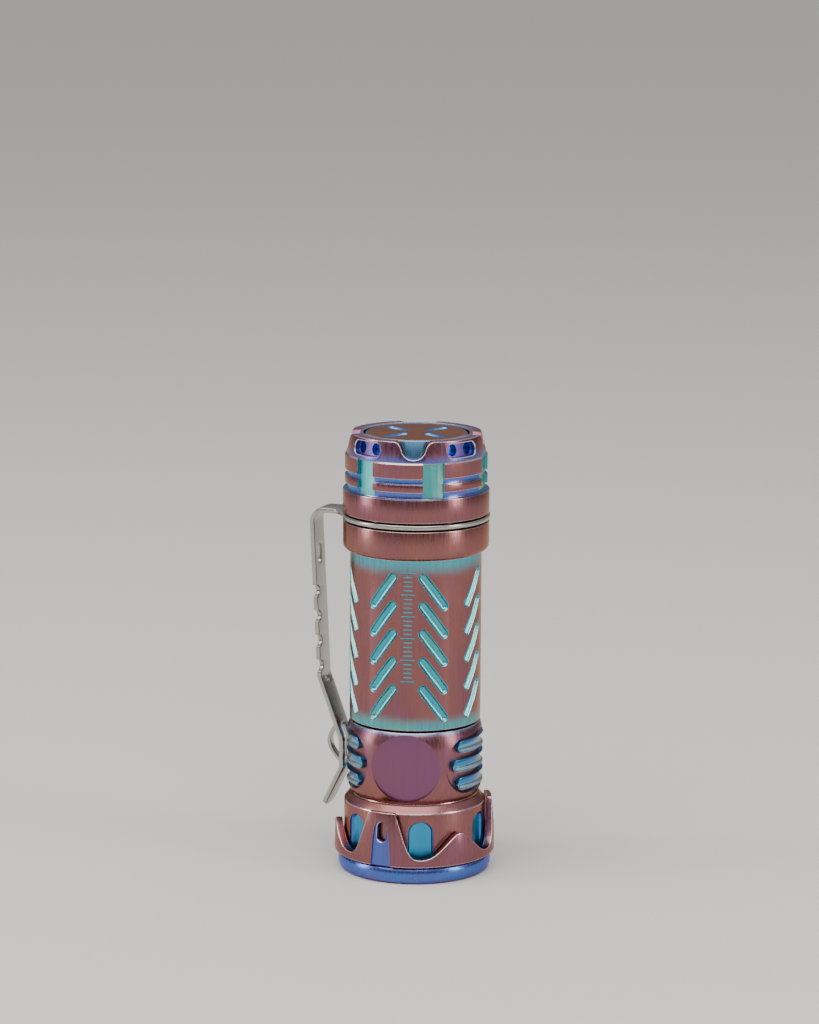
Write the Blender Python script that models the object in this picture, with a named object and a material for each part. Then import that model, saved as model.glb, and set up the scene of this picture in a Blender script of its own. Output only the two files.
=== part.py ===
"""Keychain flashlight standing on its bezel: titanium head, tube and tail cap around one lithium cell.

Metres, +Z up. The light's axis is Z, and it stands on the bezel rim at Z = 0, so the beam points down.
The pocket clip's arm is on the -X side. Angles named _DEG are measured from -Y towards +X.
Radii grow outwards from the cell, and heights grow upwards from the bezel.
"""

import math

import bmesh
import bpy
from mathutils import Matrix, Vector

# ---- fits ----
GAP = 0.0003                    # between neighbouring pieces
SEAL_SPACE = 0.0010             # radial room for an O-ring
SEAL_SECTION = 0.0003           # O-ring section radius
BODY_SEGMENTS = 36
SMALL_SEGMENTS = 24

# ---- cell ----
CELL_RADIUS = 0.0082
CELL_LENGTH = 0.0330
CELL_EDGE = 0.0005
BUTTON_RADIUS = 0.0032
BUTTON_HEIGHT = 0.0013
INSULATOR_INNER = 0.0040
INSULATOR_HEIGHT = 0.0006

# ---- tube ----
TUBE_WALL = 0.0023
COLLAR_STEP = 0.0012
COLLAR_HEIGHT = 0.0038
COLLAR_FILLET = 0.0011
CLIP_SEAT_DEPTH = 0.0004
TAIL_THREAD_WALL = 0.0014
TAIL_THREAD_LENGTH = 0.0050
TAIL_OVERHANG = 0.0004          # collar top above the cell's top
SLOT_WIDTH = 0.00134
SLOT_DEPTH = 0.0005
SLOT_RISE = 0.00482             # height between a slot's end centres
SLOT_TURN_DEG = 19.2            # angle between a slot's end centres
SLOT_PITCH = 0.00462
SLOT_TOP_DROP = 0.0040          # first slot's upper end below the collar
SLOT_END_MARGIN = 0.0018        # last slot's lower end above the tube's front face
CHEVRON_CENTRE_DEG = 58.2
CHEVRON_SPREAD_DEG = 12.6       # a V's lower slot ends from its centre line
CHEVRON_COUNT = 4

# ---- head ----
HEAD_STEP = 0.0007              # barrel's largest radius beyond the tube
BARREL_HEIGHT = 0.0121
BARREL_TOP_DROP = 0.0007
BARREL_FOOT_DROP = 0.0011
NECK_WALL = 0.0008
NECK_LENGTH = 0.0040
SEAL_COUNTERBORE = 0.0010
RING_STEP = 0.00017             # crown ring's radius beyond the barrel
RING_CHAMFER = 0.0010
RING_HEIGHT = 0.0097
WAIST_HEIGHT = 0.00025
SHELF_THICKNESS = 0.0020
FRONT_CAVITY_WALL = 0.0023
POCKET_DEPTH = 0.00105
POCKET_HALF_DEG = 52.0
POCKET_MARGIN = 0.0008           # barrel left above and below a grip pocket
RIB_COUNT = 3
RIB_WIDTH = 0.0018
RIB_RECESS = 0.00015
POCKET_DEG = 102.0
DISC_DEG = 12.0
DISC_DEPTH = 0.0015
WIRE_HOLE_RADIUS = 0.0009
WIRE_OFFSET = 0.0060

# ---- crown skirt ----
SKIRT_WALL = 0.00128
SKIRT_TAPER = 0.00045
SKIRT_TAPER_START = 0.0036      # above the skirt's foot
PILLAR_HEIGHT = 0.0089
PEAK_HEIGHT = 0.00525
VALLEY_HEIGHT = 0.0013
PILLAR_HALF_DEG = 10.7
VALLEY_DEG = 30.0
VALLEY_HALF_DEG = 5.0
PILLAR_COUNT = 3
PILLAR_DEG = -5.0
PILLAR_HOLE_WIDTH = 0.0018
PILLAR_HOLE_LENGTH = 0.0033
PILLAR_HOLE_HEIGHT = 0.0056     # centre above the skirt's foot

# ---- bezel and optics ----
BEZEL_HEIGHT = 0.00275
BEZEL_INSET = 0.00062           # inside the skirt's radius
BEZEL_ROUND = 0.0006
BEZEL_NECK_LENGTH = 0.0033
BEZEL_NECK_WALL = 0.0013
HEAD_FRONT_WALL = 0.0010
LENS_RECESS = 0.00045
LENS_THICKNESS = 0.0015
LENS_SHOULDER = 0.0012          # bezel shelf's width behind the lens
GASKET_HEIGHT = 0.0007
REFLECTOR_LENGTH = 0.0080
REFLECTOR_FLANGE = 0.0013
REFLECTOR_THROAT = 0.0024
REFLECTOR_RIM = 0.0003
REFLECTOR_BACK_WALL = 0.0018

# ---- LED and driver ----
CENTRING_HEIGHT = 0.0011
CENTRING_WALL = 0.0014
LED_SIDE = 0.0035
LED_BASE = 0.0006
LED_DOME = 0.0005
BOARD_THICKNESS = 0.0016
WIRE_RADIUS = 0.0003
DRIVER_SPACE = 0.0024           # between the shelf and the driver board
DRIVER_THICKNESS = 0.0012
INDUCTOR_SIDE = 0.0036
INDUCTOR_HEIGHT = 0.0014
CHIP_SIDE = 0.0040
CHIP_HEIGHT = 0.0009
CHIP_OFFSET = 0.0034
LOCK_RING_WIDTH = 0.0013
LOCK_RING_HEIGHT = 0.0010
SPANNER_SLOT = 0.0016
CONTACT_BASE_RADIUS = 0.0030
CONTACT_BASE_HEIGHT = 0.0005
CONTACT_PIN_RADIUS = 0.0018
CONTACT_HEIGHT = 0.0022

# ---- tail ----
FIN_INSET = 0.00033
CAP_GROOVE_INSET = 0.0008
CAP_GROOVES = ((0.0038, 0.0049), (0.0062, 0.0071))   # heights of the ring grooves above the cap's foot
CROWN_BASE = 0.0098             # ledge above the cap's foot
CROWN_STEP = 0.00042
CROWN_TAPER = 0.00058
CROWN_HEIGHT = 0.0033
CAP_CHAMFER = 0.0005
FLUTE_WIDTH = 0.0039
FLUTE_COUNT = 6
FLUTE_DEG = 34.0
NOTCH_WIDTH = 0.0042
NOTCH_COUNT = 4
NOTCH_DEG = 17.4
NOTCH_WALL = 0.0005
WINDOW_LENGTH = 0.0065
WINDOW_HEIGHT = 0.0023
WINDOW_WALL = 0.0006
CROWN_WALL = 0.00197            # at the crown's rim
TAIL_DISC_THICKNESS = 0.0014
TAIL_DISC_DROP = 0.0001
VIAL_SLOT_LENGTH = 0.0048
VIAL_SLOT_WIDTH = 0.0015
VIAL_SLOT_DEPTH = 0.0008
VIAL_SLOT_CENTRE = 0.0044
PLATE_THICKNESS = 0.0009
SPRING_WIRE = 0.00035
SPRING_WIDE = 0.0045
SPRING_NARROW = 0.0030
SPRING_TURNS = 4.5

# ---- pocket clip ----
CLIP_THICKNESS = 0.0008
CLIP_WIDTH = 0.0045
CLIP_RING_PROUD = 0.00015
CLIP_REACH = 0.0056             # arm's top centre line beyond the collar
CLIP_LEAN = 0.00145             # how far the arm leans in before its lower bend
CLIP_BEND_RADIUS = 0.0019
CLIP_SHOULDER = 0.0004          # flat stretch between the hinge line and the top bend
CLIP_LOWER_BEND = 0.0121        # above the barrel's centre
CLIP_REST_GAP = 0.00035
CLIP_HEEL_TOP = 0.0016          # stretch that lies along the barrel, above its centre
CLIP_HEEL_FOOT = 0.0030         # the same stretch, below its centre
CLIP_HEEL_BEND = 0.0024
CLIP_TIP_OUT = 0.00335
CLIP_TIP_DROP = 0.0070
BRIDGE_WIDTH = 0.0016
BRIDGE_RISE = 0.0022
BRIDGE_TOP = 0.0043             # bridge's upper root above the barrel's centre

# ---- radii, from the cell outwards ----
bore = CELL_RADIUS + GAP
tube_radius = bore + TUBE_WALL
neck_radius = bore + NECK_WALL
neck_socket = neck_radius + GAP
seal_socket = neck_radius + SEAL_SPACE
collar_radius = tube_radius + COLLAR_STEP
clip_seat = tube_radius - CLIP_SEAT_DEPTH
tail_thread = bore + TAIL_THREAD_WALL
head_radius = tube_radius + HEAD_STEP
crown_ring = head_radius + RING_STEP
skirt_inner = crown_ring + GAP
skirt_radius = skirt_inner + SKIRT_WALL
bezel_radius = skirt_radius - BEZEL_INSET
front_cavity = head_radius - FRONT_CAVITY_WALL
bezel_socket = crown_ring - HEAD_FRONT_WALL
bezel_neck = bezel_socket - GAP
bezel_bore = bezel_neck - BEZEL_NECK_WALL
fin_radius = collar_radius - FIN_INSET
crown_foot_radius = fin_radius - CROWN_STEP
crown_rim_radius = crown_foot_radius - CROWN_TAPER
disc_socket = crown_rim_radius - CROWN_WALL
disc_radius = disc_socket - GAP

# ---- heights, from the bezel rim upwards ----
lens_bottom = LENS_RECESS
lens_top = lens_bottom + LENS_THICKNESS
gasket_bottom = lens_top + GAP
gasket_top = gasket_bottom + GASKET_HEIGHT
lens_shelf = gasket_top + GAP
bezel_neck_top = BEZEL_HEIGHT + BEZEL_NECK_LENGTH
head_foot = BEZEL_HEIGHT + GAP
ring_top = head_foot + RING_HEIGHT
waist_top = ring_top + WAIST_HEIGHT
barrel_centre = waist_top + BARREL_HEIGHT / 2
pocket_half_height = BARREL_HEIGHT / 2 - POCKET_MARGIN
rib_pitch = RIB_WIDTH + (2 * pocket_half_height - RIB_COUNT * RIB_WIDTH) / (RIB_COUNT + 1)
head_top = waist_top + BARREL_HEIGHT
neck_top = head_top + NECK_LENGTH
reflector_bottom = lens_shelf + GAP
reflector_top = reflector_bottom + REFLECTOR_LENGTH
centring_bottom = reflector_top + GAP
centring_top = centring_bottom + CENTRING_HEIGHT
board_bottom = centring_top + GAP
board_top = board_bottom + BOARD_THICKNESS
shelf_bottom = board_top + GAP
shelf_top = shelf_bottom + SHELF_THICKNESS
driver_bottom = shelf_top + DRIVER_SPACE
driver_top = driver_bottom + DRIVER_THICKNESS
contact_bottom = driver_top + GAP
contact_top = contact_bottom + CONTACT_HEIGHT
button_bottom = contact_top + GAP
button_top = button_bottom + BUTTON_HEIGHT
cell_bottom = button_top + GAP
cell_top = cell_bottom + CELL_LENGTH
tube_foot = head_top + GAP
collar_top = cell_top + TAIL_OVERHANG
collar_foot = collar_top - COLLAR_HEIGHT
cap_foot = collar_top + CLIP_THICKNESS + 2 * GAP
tail_thread_top = cap_foot + TAIL_THREAD_LENGTH
cap_thread_top = tail_thread_top + GAP
lock_bottom = cap_thread_top + 0.5 * GAP
lock_top = lock_bottom + LOCK_RING_HEIGHT
plate_bottom = lock_top + GAP
plate_top = plate_bottom + PLATE_THICKNESS
crown_base = cap_foot + CROWN_BASE
crown_top = crown_base + CROWN_HEIGHT
disc_top = crown_top - TAIL_DISC_DROP
disc_bottom = disc_top - TAIL_DISC_THICKNESS
clip_height = collar_top + GAP + CLIP_THICKNESS / 2
clip_tab_end = collar_radius + CLIP_REACH - CLIP_BEND_RADIUS - CLIP_SHOULDER - GAP
clip_rest = head_radius + CLIP_REST_GAP + CLIP_THICKNESS / 2


# ---- modelling helpers ----
def start_empty():
    for thing in list(bpy.data.objects):
        bpy.data.objects.remove(thing, do_unlink=True)


def finish_name(name, colour, roughness, metallic):
    finish = bpy.data.materials.new(name)
    finish.use_nodes = True
    shader = finish.node_tree.nodes["Principled BSDF"]
    shader.inputs["Base Color"].default_value = (*colour, 1.0)
    shader.inputs["Roughness"].default_value = roughness
    shader.inputs["Metallic"].default_value = metallic
    return finish


def add_mesh_object(name, shape, material):
    mesh = bpy.data.meshes.new(name)
    shape.to_mesh(mesh)
    shape.free()
    thing = bpy.data.objects.new(name, mesh)
    bpy.context.scene.collection.objects.link(thing)
    if material is not None:
        mesh.materials.append(material)
    mesh.shade_smooth()
    mesh.set_sharp_from_angle(angle=math.radians(35))
    return thing


def heading(degrees):
    """Horizontal unit vector at an angle measured from -Y towards +X."""
    turn = math.radians(degrees)
    return Vector((math.sin(turn), -math.cos(turn), 0.0))


def turned_shape(outline, segments):
    """Solid of revolution about Z. An outline that starts on the axis also ends on it."""
    shape = bmesh.new()
    points = [shape.verts.new((radius, 0.0, height)) for radius, height in outline]
    edges = [shape.edges.new(pair) for pair in zip(points, points[1:])]
    if outline[0][0] > 0:
        edges.append(shape.edges.new((points[-1], points[0])))
    bmesh.ops.spin(shape, geom=points + edges, cent=(0, 0, 0), axis=(0, 0, 1), angle=2 * math.pi,
                   steps=segments, use_merge=True)
    bmesh.ops.remove_doubles(shape, verts=shape.verts, dist=1e-6)
    bmesh.ops.recalc_face_normals(shape, faces=shape.faces)
    return shape


def turned(name, outline, material, segments=BODY_SEGMENTS):
    return add_mesh_object(name, turned_shape(outline, segments), material)


def ring_outline(inner, outer, bottom, top):
    return [(inner, bottom), (outer, bottom), (outer, top), (inner, top)]


def block_shape(size, place):
    shape = bmesh.new()
    bmesh.ops.create_cube(shape, size=1.0)
    bmesh.ops.scale(shape, vec=size, verts=shape.verts)
    bmesh.ops.transform(shape, matrix=place, verts=shape.verts)
    return shape


def facing(degrees, distance, height, lean=0.0):
    """Local +X lies along the surface to the right, +Y points outwards, +Z up, leaned about +Y."""
    outward = heading(degrees)
    place = Matrix.Translation(outward * distance + Vector((0, 0, height)))
    turn = Matrix.Rotation(math.radians(degrees) + math.pi, 4, "Z")
    return place @ turn @ Matrix.Rotation(lean, 4, "Y")


def capsule_shape(length, width, depth, place, end_steps=5):
    """Flat slug with round ends: length along local X, width along Z, depth outwards from Y = 0."""
    shape = bmesh.new()
    half = length / 2 - width / 2
    rim = []
    for side in (1, -1):
        for step in range(end_steps):
            turn = math.pi * (step / (end_steps - 1) - 0.5)
            rim.append(shape.verts.new((side * (half + width / 2 * math.cos(turn)), 0.0,
                                        side * width / 2 * math.sin(turn))))
    face = shape.faces.new(rim)
    grown = bmesh.ops.extrude_face_region(shape, geom=[face])
    moved = [part for part in grown["geom"] if isinstance(part, bmesh.types.BMVert)]
    bmesh.ops.translate(shape, verts=moved, vec=(0, depth, 0))
    bmesh.ops.recalc_face_normals(shape, faces=shape.faces)
    bmesh.ops.transform(shape, matrix=place, verts=shape.verts)
    return shape


def joined_cutter(name, shapes):
    """One hidden cutting tool made of several separate bodies."""
    mesh = bpy.data.meshes.new(name)
    whole = bmesh.new()
    for shape in shapes:
        shape.to_mesh(mesh)
        shape.free()
        whole.from_mesh(mesh)
    bmesh.ops.recalc_face_normals(whole, faces=whole.faces)
    tool = add_mesh_object(name, whole, None)
    tool.hide_render = True
    tool.display_type = "WIRE"
    return tool


def cut(thing, tool):
    bite = thing.modifiers.new("cut_" + tool.name, "BOOLEAN")
    bite.operation = "DIFFERENCE"
    bite.solver = "EXACT"
    bite.object = tool


def sector_shape(outline, centre_deg, half_deg, steps):
    """Closed outline swept part of the way round the axis."""
    shape = bmesh.new()
    start = Matrix.Rotation(math.radians(centre_deg - half_deg - 90), 3, "Z")
    points = [shape.verts.new(start @ Vector((radius, 0, height))) for radius, height in outline]
    face = shape.faces.new(points)
    bmesh.ops.spin(shape, geom=[face], cent=(0, 0, 0), axis=(0, 0, 1), dvec=(0, 0, 0),
                   angle=math.radians(2 * half_deg), steps=steps, use_merge=False)
    bmesh.ops.recalc_face_normals(shape, faces=shape.faces)
    return shape


def round_section(centre_radius, centre_height, section, sides=6):
    turns = [2 * math.pi * (side + 0.5) / sides for side in range(sides)]
    return [(centre_radius + section * math.cos(turn), centre_height + section * math.sin(turn))
            for turn in turns]


def wire(name, points, radius, material):
    path = bpy.data.curves.new(name, "CURVE")
    path.dimensions = "3D"
    path.bevel_depth = radius
    path.bevel_resolution = 1
    path.use_fill_caps = True
    path.materials.append(material)
    spline = path.splines.new("POLY")
    spline.points.add(len(points) - 1)
    for point, place in zip(spline.points, points):
        point.co = (*place, 1.0)
    thing = bpy.data.objects.new(name, path)
    bpy.context.scene.collection.objects.link(thing)
    return thing


# ---- head end ----
def make_bezel(titanium):
    outer = bezel_radius
    lens_socket = bezel_bore + LENS_SHOULDER
    outline = [
        (bezel_bore, lens_shelf), (lens_socket, lens_shelf), (lens_socket, BEZEL_ROUND / 2),
        (lens_socket + BEZEL_ROUND / 2, 0.0), (outer - BEZEL_ROUND, 0.0),
        (outer - BEZEL_ROUND * 0.3, BEZEL_ROUND * 0.5), (outer, BEZEL_ROUND * 1.6),
        (outer, BEZEL_HEIGHT - BEZEL_ROUND), (outer - BEZEL_ROUND / 2, BEZEL_HEIGHT),
        (bezel_neck, BEZEL_HEIGHT), (bezel_neck, bezel_neck_top), (bezel_bore, bezel_neck_top)]
    turned("bezel_ring", outline, titanium)


def make_optics(glass, rubber, mirror, plastic):
    lens_radius = bezel_bore + LENS_SHOULDER - GAP
    turned("lens", [(0, lens_bottom), (lens_radius, lens_bottom), (lens_radius, lens_top), (0, lens_top)],
           glass)
    turned("lens_gasket", ring_outline(bezel_bore + GAP, lens_radius, gasket_bottom, gasket_top), rubber)
    rim = bezel_bore - GAP
    mouth = rim - REFLECTOR_RIM
    focus = (mouth ** 2 - REFLECTOR_THROAT ** 2) / (4 * REFLECTOR_LENGTH)
    steps = 6
    bowl = []
    for step in range(steps + 1):
        radius = mouth + (REFLECTOR_THROAT - mouth) * step / steps
        depth = (mouth ** 2 - radius ** 2) / (4 * focus)
        bowl.append((radius, reflector_bottom + depth))
    back = REFLECTOR_THROAT + REFLECTOR_BACK_WALL
    shell = [(back, reflector_top), (rim, reflector_bottom + REFLECTOR_FLANGE), (rim, reflector_bottom)]
    turned("reflector", bowl + shell, mirror, 32)
    inner = LED_SIDE * math.sqrt(0.5) + GAP
    turned("led_centring_ring", ring_outline(inner, inner + CENTRING_WALL, centring_bottom, centring_top),
           plastic, SMALL_SEGMENTS)


def make_led(phosphor, copper):
    base_top = board_bottom - GAP
    middle = Matrix.Translation((0, 0, base_top - LED_BASE / 2))
    shape = block_shape((LED_SIDE, LED_SIDE, LED_BASE), middle)
    front = min(shape.faces, key=lambda face: face.calc_center_median().z)
    bmesh.ops.inset_individual(shape, faces=[front], thickness=LED_SIDE * 0.1)
    grown = bmesh.ops.extrude_discrete_faces(shape, faces=[front])["faces"]
    bmesh.ops.translate(shape, verts=grown[0].verts, vec=(0, 0, -LED_DOME))
    centre = Vector((0, 0, base_top - LED_BASE - LED_DOME))
    bmesh.ops.scale(shape, vec=(0.6, 0.6, 1.0), verts=grown[0].verts, space=Matrix.Translation(-centre))
    bmesh.ops.remove_doubles(shape, verts=shape.verts, dist=1e-6)
    bmesh.ops.recalc_face_normals(shape, faces=shape.faces)
    add_mesh_object("led_emitter", shape, phosphor)
    board_radius = front_cavity - GAP
    turned("led_board", [(0, board_bottom), (board_radius, board_bottom), (board_radius, board_top),
                         (0, board_top)], copper, 32)


def comb_outline():
    """Section of the tool that mills one grip pocket and leaves its three ribs."""
    floor = head_radius - POCKET_DEPTH
    crest = head_radius - RIB_RECESS
    outside = head_radius + HEAD_STEP
    low = barrel_centre - pocket_half_height
    high = barrel_centre + pocket_half_height
    section = [(outside, low), (floor, low)]
    for row in range(RIB_COUNT):
        middle = barrel_centre + (row - (RIB_COUNT - 1) / 2) * rib_pitch
        section += [(floor, middle - RIB_WIDTH / 2), (crest, middle - RIB_WIDTH / 2),
                    (crest, middle + RIB_WIDTH / 2), (floor, middle + RIB_WIDTH / 2)]
    return section + [(floor, high), (outside, high)]


def make_head(titanium):
    foot = head_radius - BARREL_FOOT_DROP
    shoulder = head_radius - BARREL_TOP_DROP
    quarter = BARREL_HEIGHT / 4
    ring_neck = crown_ring - RING_CHAMFER
    outline = [
        (0, shelf_bottom), (front_cavity, shelf_bottom), (front_cavity, bezel_neck_top + GAP),
        (bezel_socket, bezel_neck_top + GAP), (bezel_socket, head_foot), (crown_ring, head_foot),
        (crown_ring, ring_top - RING_CHAMFER), (ring_neck, ring_top), (ring_neck, waist_top),
        (foot, waist_top), (foot + 0.7 * BARREL_FOOT_DROP, waist_top + quarter / 2),
        (head_radius, waist_top + 1.6 * quarter), (head_radius, head_top - 1.6 * quarter),
        (shoulder + 0.6 * BARREL_TOP_DROP, head_top - quarter / 2), (shoulder, head_top),
        (neck_radius, head_top), (neck_radius, neck_top), (bore, neck_top), (bore, shelf_top), (0, shelf_top)]
    head = turned("head_body", outline, titanium)
    pockets = [sector_shape(comb_outline(), POCKET_DEG + side, POCKET_HALF_DEG, 10) for side in (0, 180)]
    cut(head, joined_cutter("pocket_tool", pockets))
    discs = []
    for side in (0, 180):
        place = facing(DISC_DEG + side, head_radius - DISC_DEPTH, barrel_centre)
        disc = pocket_half_height * 2
        discs.append(capsule_shape(disc + 1e-5, disc, 2 * DISC_DEPTH, place, 13))
    cut(head, joined_cutter("disc_tool", discs))
    holes = []
    for side in (1, -1):
        place = Matrix.Translation((side * WIRE_OFFSET, 0, (shelf_bottom + shelf_top) / 2))
        hole = bmesh.new()
        bmesh.ops.create_cone(hole, cap_ends=True, segments=10, radius1=WIRE_HOLE_RADIUS,
                              radius2=WIRE_HOLE_RADIUS, depth=2 * SHELF_THICKNESS, matrix=place)
        holes.append(hole)
    cut(head, joined_cutter("wire_hole_tool", holes))


def skirt_height(turn):
    """Height of the crown's edge above its foot, at an angle from a pillar's centre line."""
    turn = abs((turn + 60.0) % 120.0 - 60.0)
    valley_start = VALLEY_DEG - VALLEY_HALF_DEG
    valley_end = VALLEY_DEG + VALLEY_HALF_DEG
    if turn <= PILLAR_HALF_DEG:
        return PILLAR_HEIGHT
    if turn <= valley_start:
        along = (turn - PILLAR_HALF_DEG) / (valley_start - PILLAR_HALF_DEG)
        return PILLAR_HEIGHT + (VALLEY_HEIGHT - PILLAR_HEIGHT) * math.sin(along * math.pi / 2) ** 1.2
    if turn <= valley_end:
        return VALLEY_HEIGHT
    along = (turn - valley_end) / (60.0 - valley_end)
    return VALLEY_HEIGHT + (PEAK_HEIGHT - VALLEY_HEIGHT) * along ** 1.3


def make_skirt(titanium):
    valley_start = VALLEY_DEG - VALLEY_HALF_DEG
    valley_end = VALLEY_DEG + VALLEY_HALF_DEG
    flank = (valley_start - PILLAR_HALF_DEG) / 3
    slope = (60.0 - valley_end) / 3
    half = [PILLAR_HALF_DEG + flank * step for step in range(3)] + [valley_start]
    half += [valley_end + slope * step for step in range(3)]
    third = [0.0] + half + [60.0] + [120.0 - turn for turn in reversed(half)]
    shape = bmesh.new()
    columns = []
    for pillar in range(PILLAR_COUNT):
        for turn in third:
            side = heading(PILLAR_DEG + 120.0 * pillar + turn)
            top = skirt_height(turn)
            middle = min(SKIRT_TAPER_START, top * 0.6)
            lean = max(0.0, top - SKIRT_TAPER_START) / (PILLAR_HEIGHT - SKIRT_TAPER_START)
            spots = [(skirt_inner, 0.0), (skirt_radius, 0.0), (skirt_radius, middle),
                     (skirt_radius - SKIRT_TAPER * lean, top), (skirt_inner, top)]
            columns.append([shape.verts.new(side * radius + Vector((0, 0, head_foot + height)))
                            for radius, height in spots])
    for column, following in zip(columns, columns[1:] + columns[:1]):
        for spot in range(5):
            after = (spot + 1) % 5
            shape.faces.new((column[spot], following[spot], following[after], column[after]))
    bmesh.ops.recalc_face_normals(shape, faces=shape.faces)
    skirt = add_mesh_object("crown_skirt", shape, titanium)
    holes = []
    for pillar in range(PILLAR_COUNT):
        place = facing(PILLAR_DEG + 120.0 * pillar, crown_ring, head_foot + PILLAR_HOLE_HEIGHT, math.pi / 2)
        holes.append(capsule_shape(PILLAR_HOLE_LENGTH, PILLAR_HOLE_WIDTH, 3 * SKIRT_WALL, place))
    cut(skirt, joined_cutter("pillar_hole_tool", holes))


def make_driver(circuit, ferrite, brass, red_wire, black_wire):
    board_radius = bore - GAP
    turned("driver_board", [(0, driver_bottom), (board_radius, driver_bottom), (board_radius, driver_top),
                            (0, driver_top)], circuit, 32)
    coil = Matrix.Translation((0, CHIP_OFFSET, driver_bottom - GAP - INDUCTOR_HEIGHT / 2))
    add_mesh_object("driver_inductor", block_shape((INDUCTOR_SIDE, INDUCTOR_SIDE, INDUCTOR_HEIGHT), coil),
                    ferrite)
    chip = Matrix.Translation((0, -CHIP_OFFSET, driver_bottom - GAP - CHIP_HEIGHT / 2))
    add_mesh_object("driver_chip", block_shape((CHIP_SIDE, CHIP_SIDE, CHIP_HEIGHT), chip), ferrite)
    turned("driver_contact", [
        (0, contact_bottom), (CONTACT_BASE_RADIUS, contact_bottom),
        (CONTACT_BASE_RADIUS, contact_bottom + CONTACT_BASE_HEIGHT),
        (CONTACT_PIN_RADIUS, contact_bottom + CONTACT_BASE_HEIGHT), (CONTACT_PIN_RADIUS, contact_top),
        (0, contact_top)], brass, SMALL_SEGMENTS)
    make_lock_ring("driver_lock_ring", contact_bottom, brass)
    low, high = board_top + GAP, driver_bottom - GAP
    for name, side, finish in (("led_wire_positive", 1, red_wire), ("led_wire_negative", -1, black_wire)):
        bow = side * WIRE_HOLE_RADIUS / 3
        points = [(side * WIRE_OFFSET + bow * math.sin(math.pi * step / 4), 0, low + (high - low) * step / 4)
                  for step in range(5)]
        wire(name, points, WIRE_RADIUS, finish)


def make_lock_ring(name, bottom, material):
    outer = bore - GAP
    ring = turned(name, ring_outline(outer - LOCK_RING_WIDTH, outer, bottom, bottom + LOCK_RING_HEIGHT),
                  material, 32)
    slots = []
    for side in (0, 180):
        place = facing(side, outer, bottom)
        slots.append(block_shape((SPANNER_SLOT, LOCK_RING_WIDTH, LOCK_RING_HEIGHT), place))
    cut(ring, joined_cutter(name + "_tool", slots))


# ---- cell and tube ----
def make_cell(steel, insulation):
    edge = CELL_EDGE
    turned("battery_cell", [
        (0, cell_bottom), (CELL_RADIUS - edge, cell_bottom), (CELL_RADIUS, cell_bottom + edge),
        (CELL_RADIUS, cell_top - edge), (CELL_RADIUS - edge, cell_top), (0, cell_top)], steel, 32)
    turned("battery_button", [
        (0, button_bottom), (BUTTON_RADIUS - edge, button_bottom), (BUTTON_RADIUS, button_bottom + edge),
        (BUTTON_RADIUS, button_top), (0, button_top)], steel, SMALL_SEGMENTS)
    turned("battery_insulator", ring_outline(INSULATOR_INNER, CELL_RADIUS - GAP,
                                             button_top - INSULATOR_HEIGHT, button_top),
           insulation, 32)


def slot_places():
    """Right and left slots of every chevron: (angle of the middle, height of the middle, slope sign)."""
    first = collar_foot - SLOT_TOP_DROP
    room = first - SLOT_RISE - (tube_foot + SLOT_END_MARGIN)
    rows = int(room / SLOT_PITCH + 1e-6) + 1
    for chevron in range(CHEVRON_COUNT):
        centre = CHEVRON_CENTRE_DEG + 360.0 / CHEVRON_COUNT * chevron
        for side in (-1, 1):
            turn = centre + side * (CHEVRON_SPREAD_DEG + SLOT_TURN_DEG / 2)
            for row in range(rows):
                yield turn, first - SLOT_RISE / 2 - SLOT_PITCH * row, side


def make_tube(titanium, rubber):
    neck_end = neck_top + GAP
    seal_end = tube_foot + SEAL_COUNTERBORE
    fillet_foot = collar_foot - COLLAR_FILLET
    outline = [
        (bore, neck_end), (neck_socket, neck_end), (neck_socket, seal_end), (seal_socket, seal_end),
        (seal_socket, tube_foot), (tube_radius, tube_foot), (tube_radius, fillet_foot),
        (tube_radius + 0.4 * COLLAR_STEP, fillet_foot + 0.25 * COLLAR_FILLET),
        (tube_radius + 0.8 * COLLAR_STEP, fillet_foot + 0.6 * COLLAR_FILLET),
        (collar_radius, collar_foot), (collar_radius, collar_top), (clip_seat, collar_top),
        (clip_seat, cap_foot - GAP), (tail_thread, cap_foot - GAP), (tail_thread, tail_thread_top),
        (bore, tail_thread_top)]
    tube = turned("battery_tube", outline, titanium)
    span = math.radians(SLOT_TURN_DEG) * tube_radius
    length = math.hypot(span, SLOT_RISE) + SLOT_WIDTH
    slots = []
    for turn, height, side in slot_places():
        lean = side * math.atan2(SLOT_RISE, span)
        place = facing(turn, tube_radius - SLOT_DEPTH, height, lean)
        slots.append(capsule_shape(length, SLOT_WIDTH, 3 * SLOT_DEPTH, place, 3))
    cut(tube, joined_cutter("chevron_tool", slots))
    front = round_section(neck_radius + SEAL_SPACE / 2, head_top + GAP + SEAL_SECTION, SEAL_SECTION)
    turned("front_o_ring", front, rubber, 30)
    rear = round_section(tail_thread + SEAL_SPACE / 2, cap_foot + GAP + SEAL_SECTION, SEAL_SECTION)
    turned("rear_o_ring", rear, rubber, 30)


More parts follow.
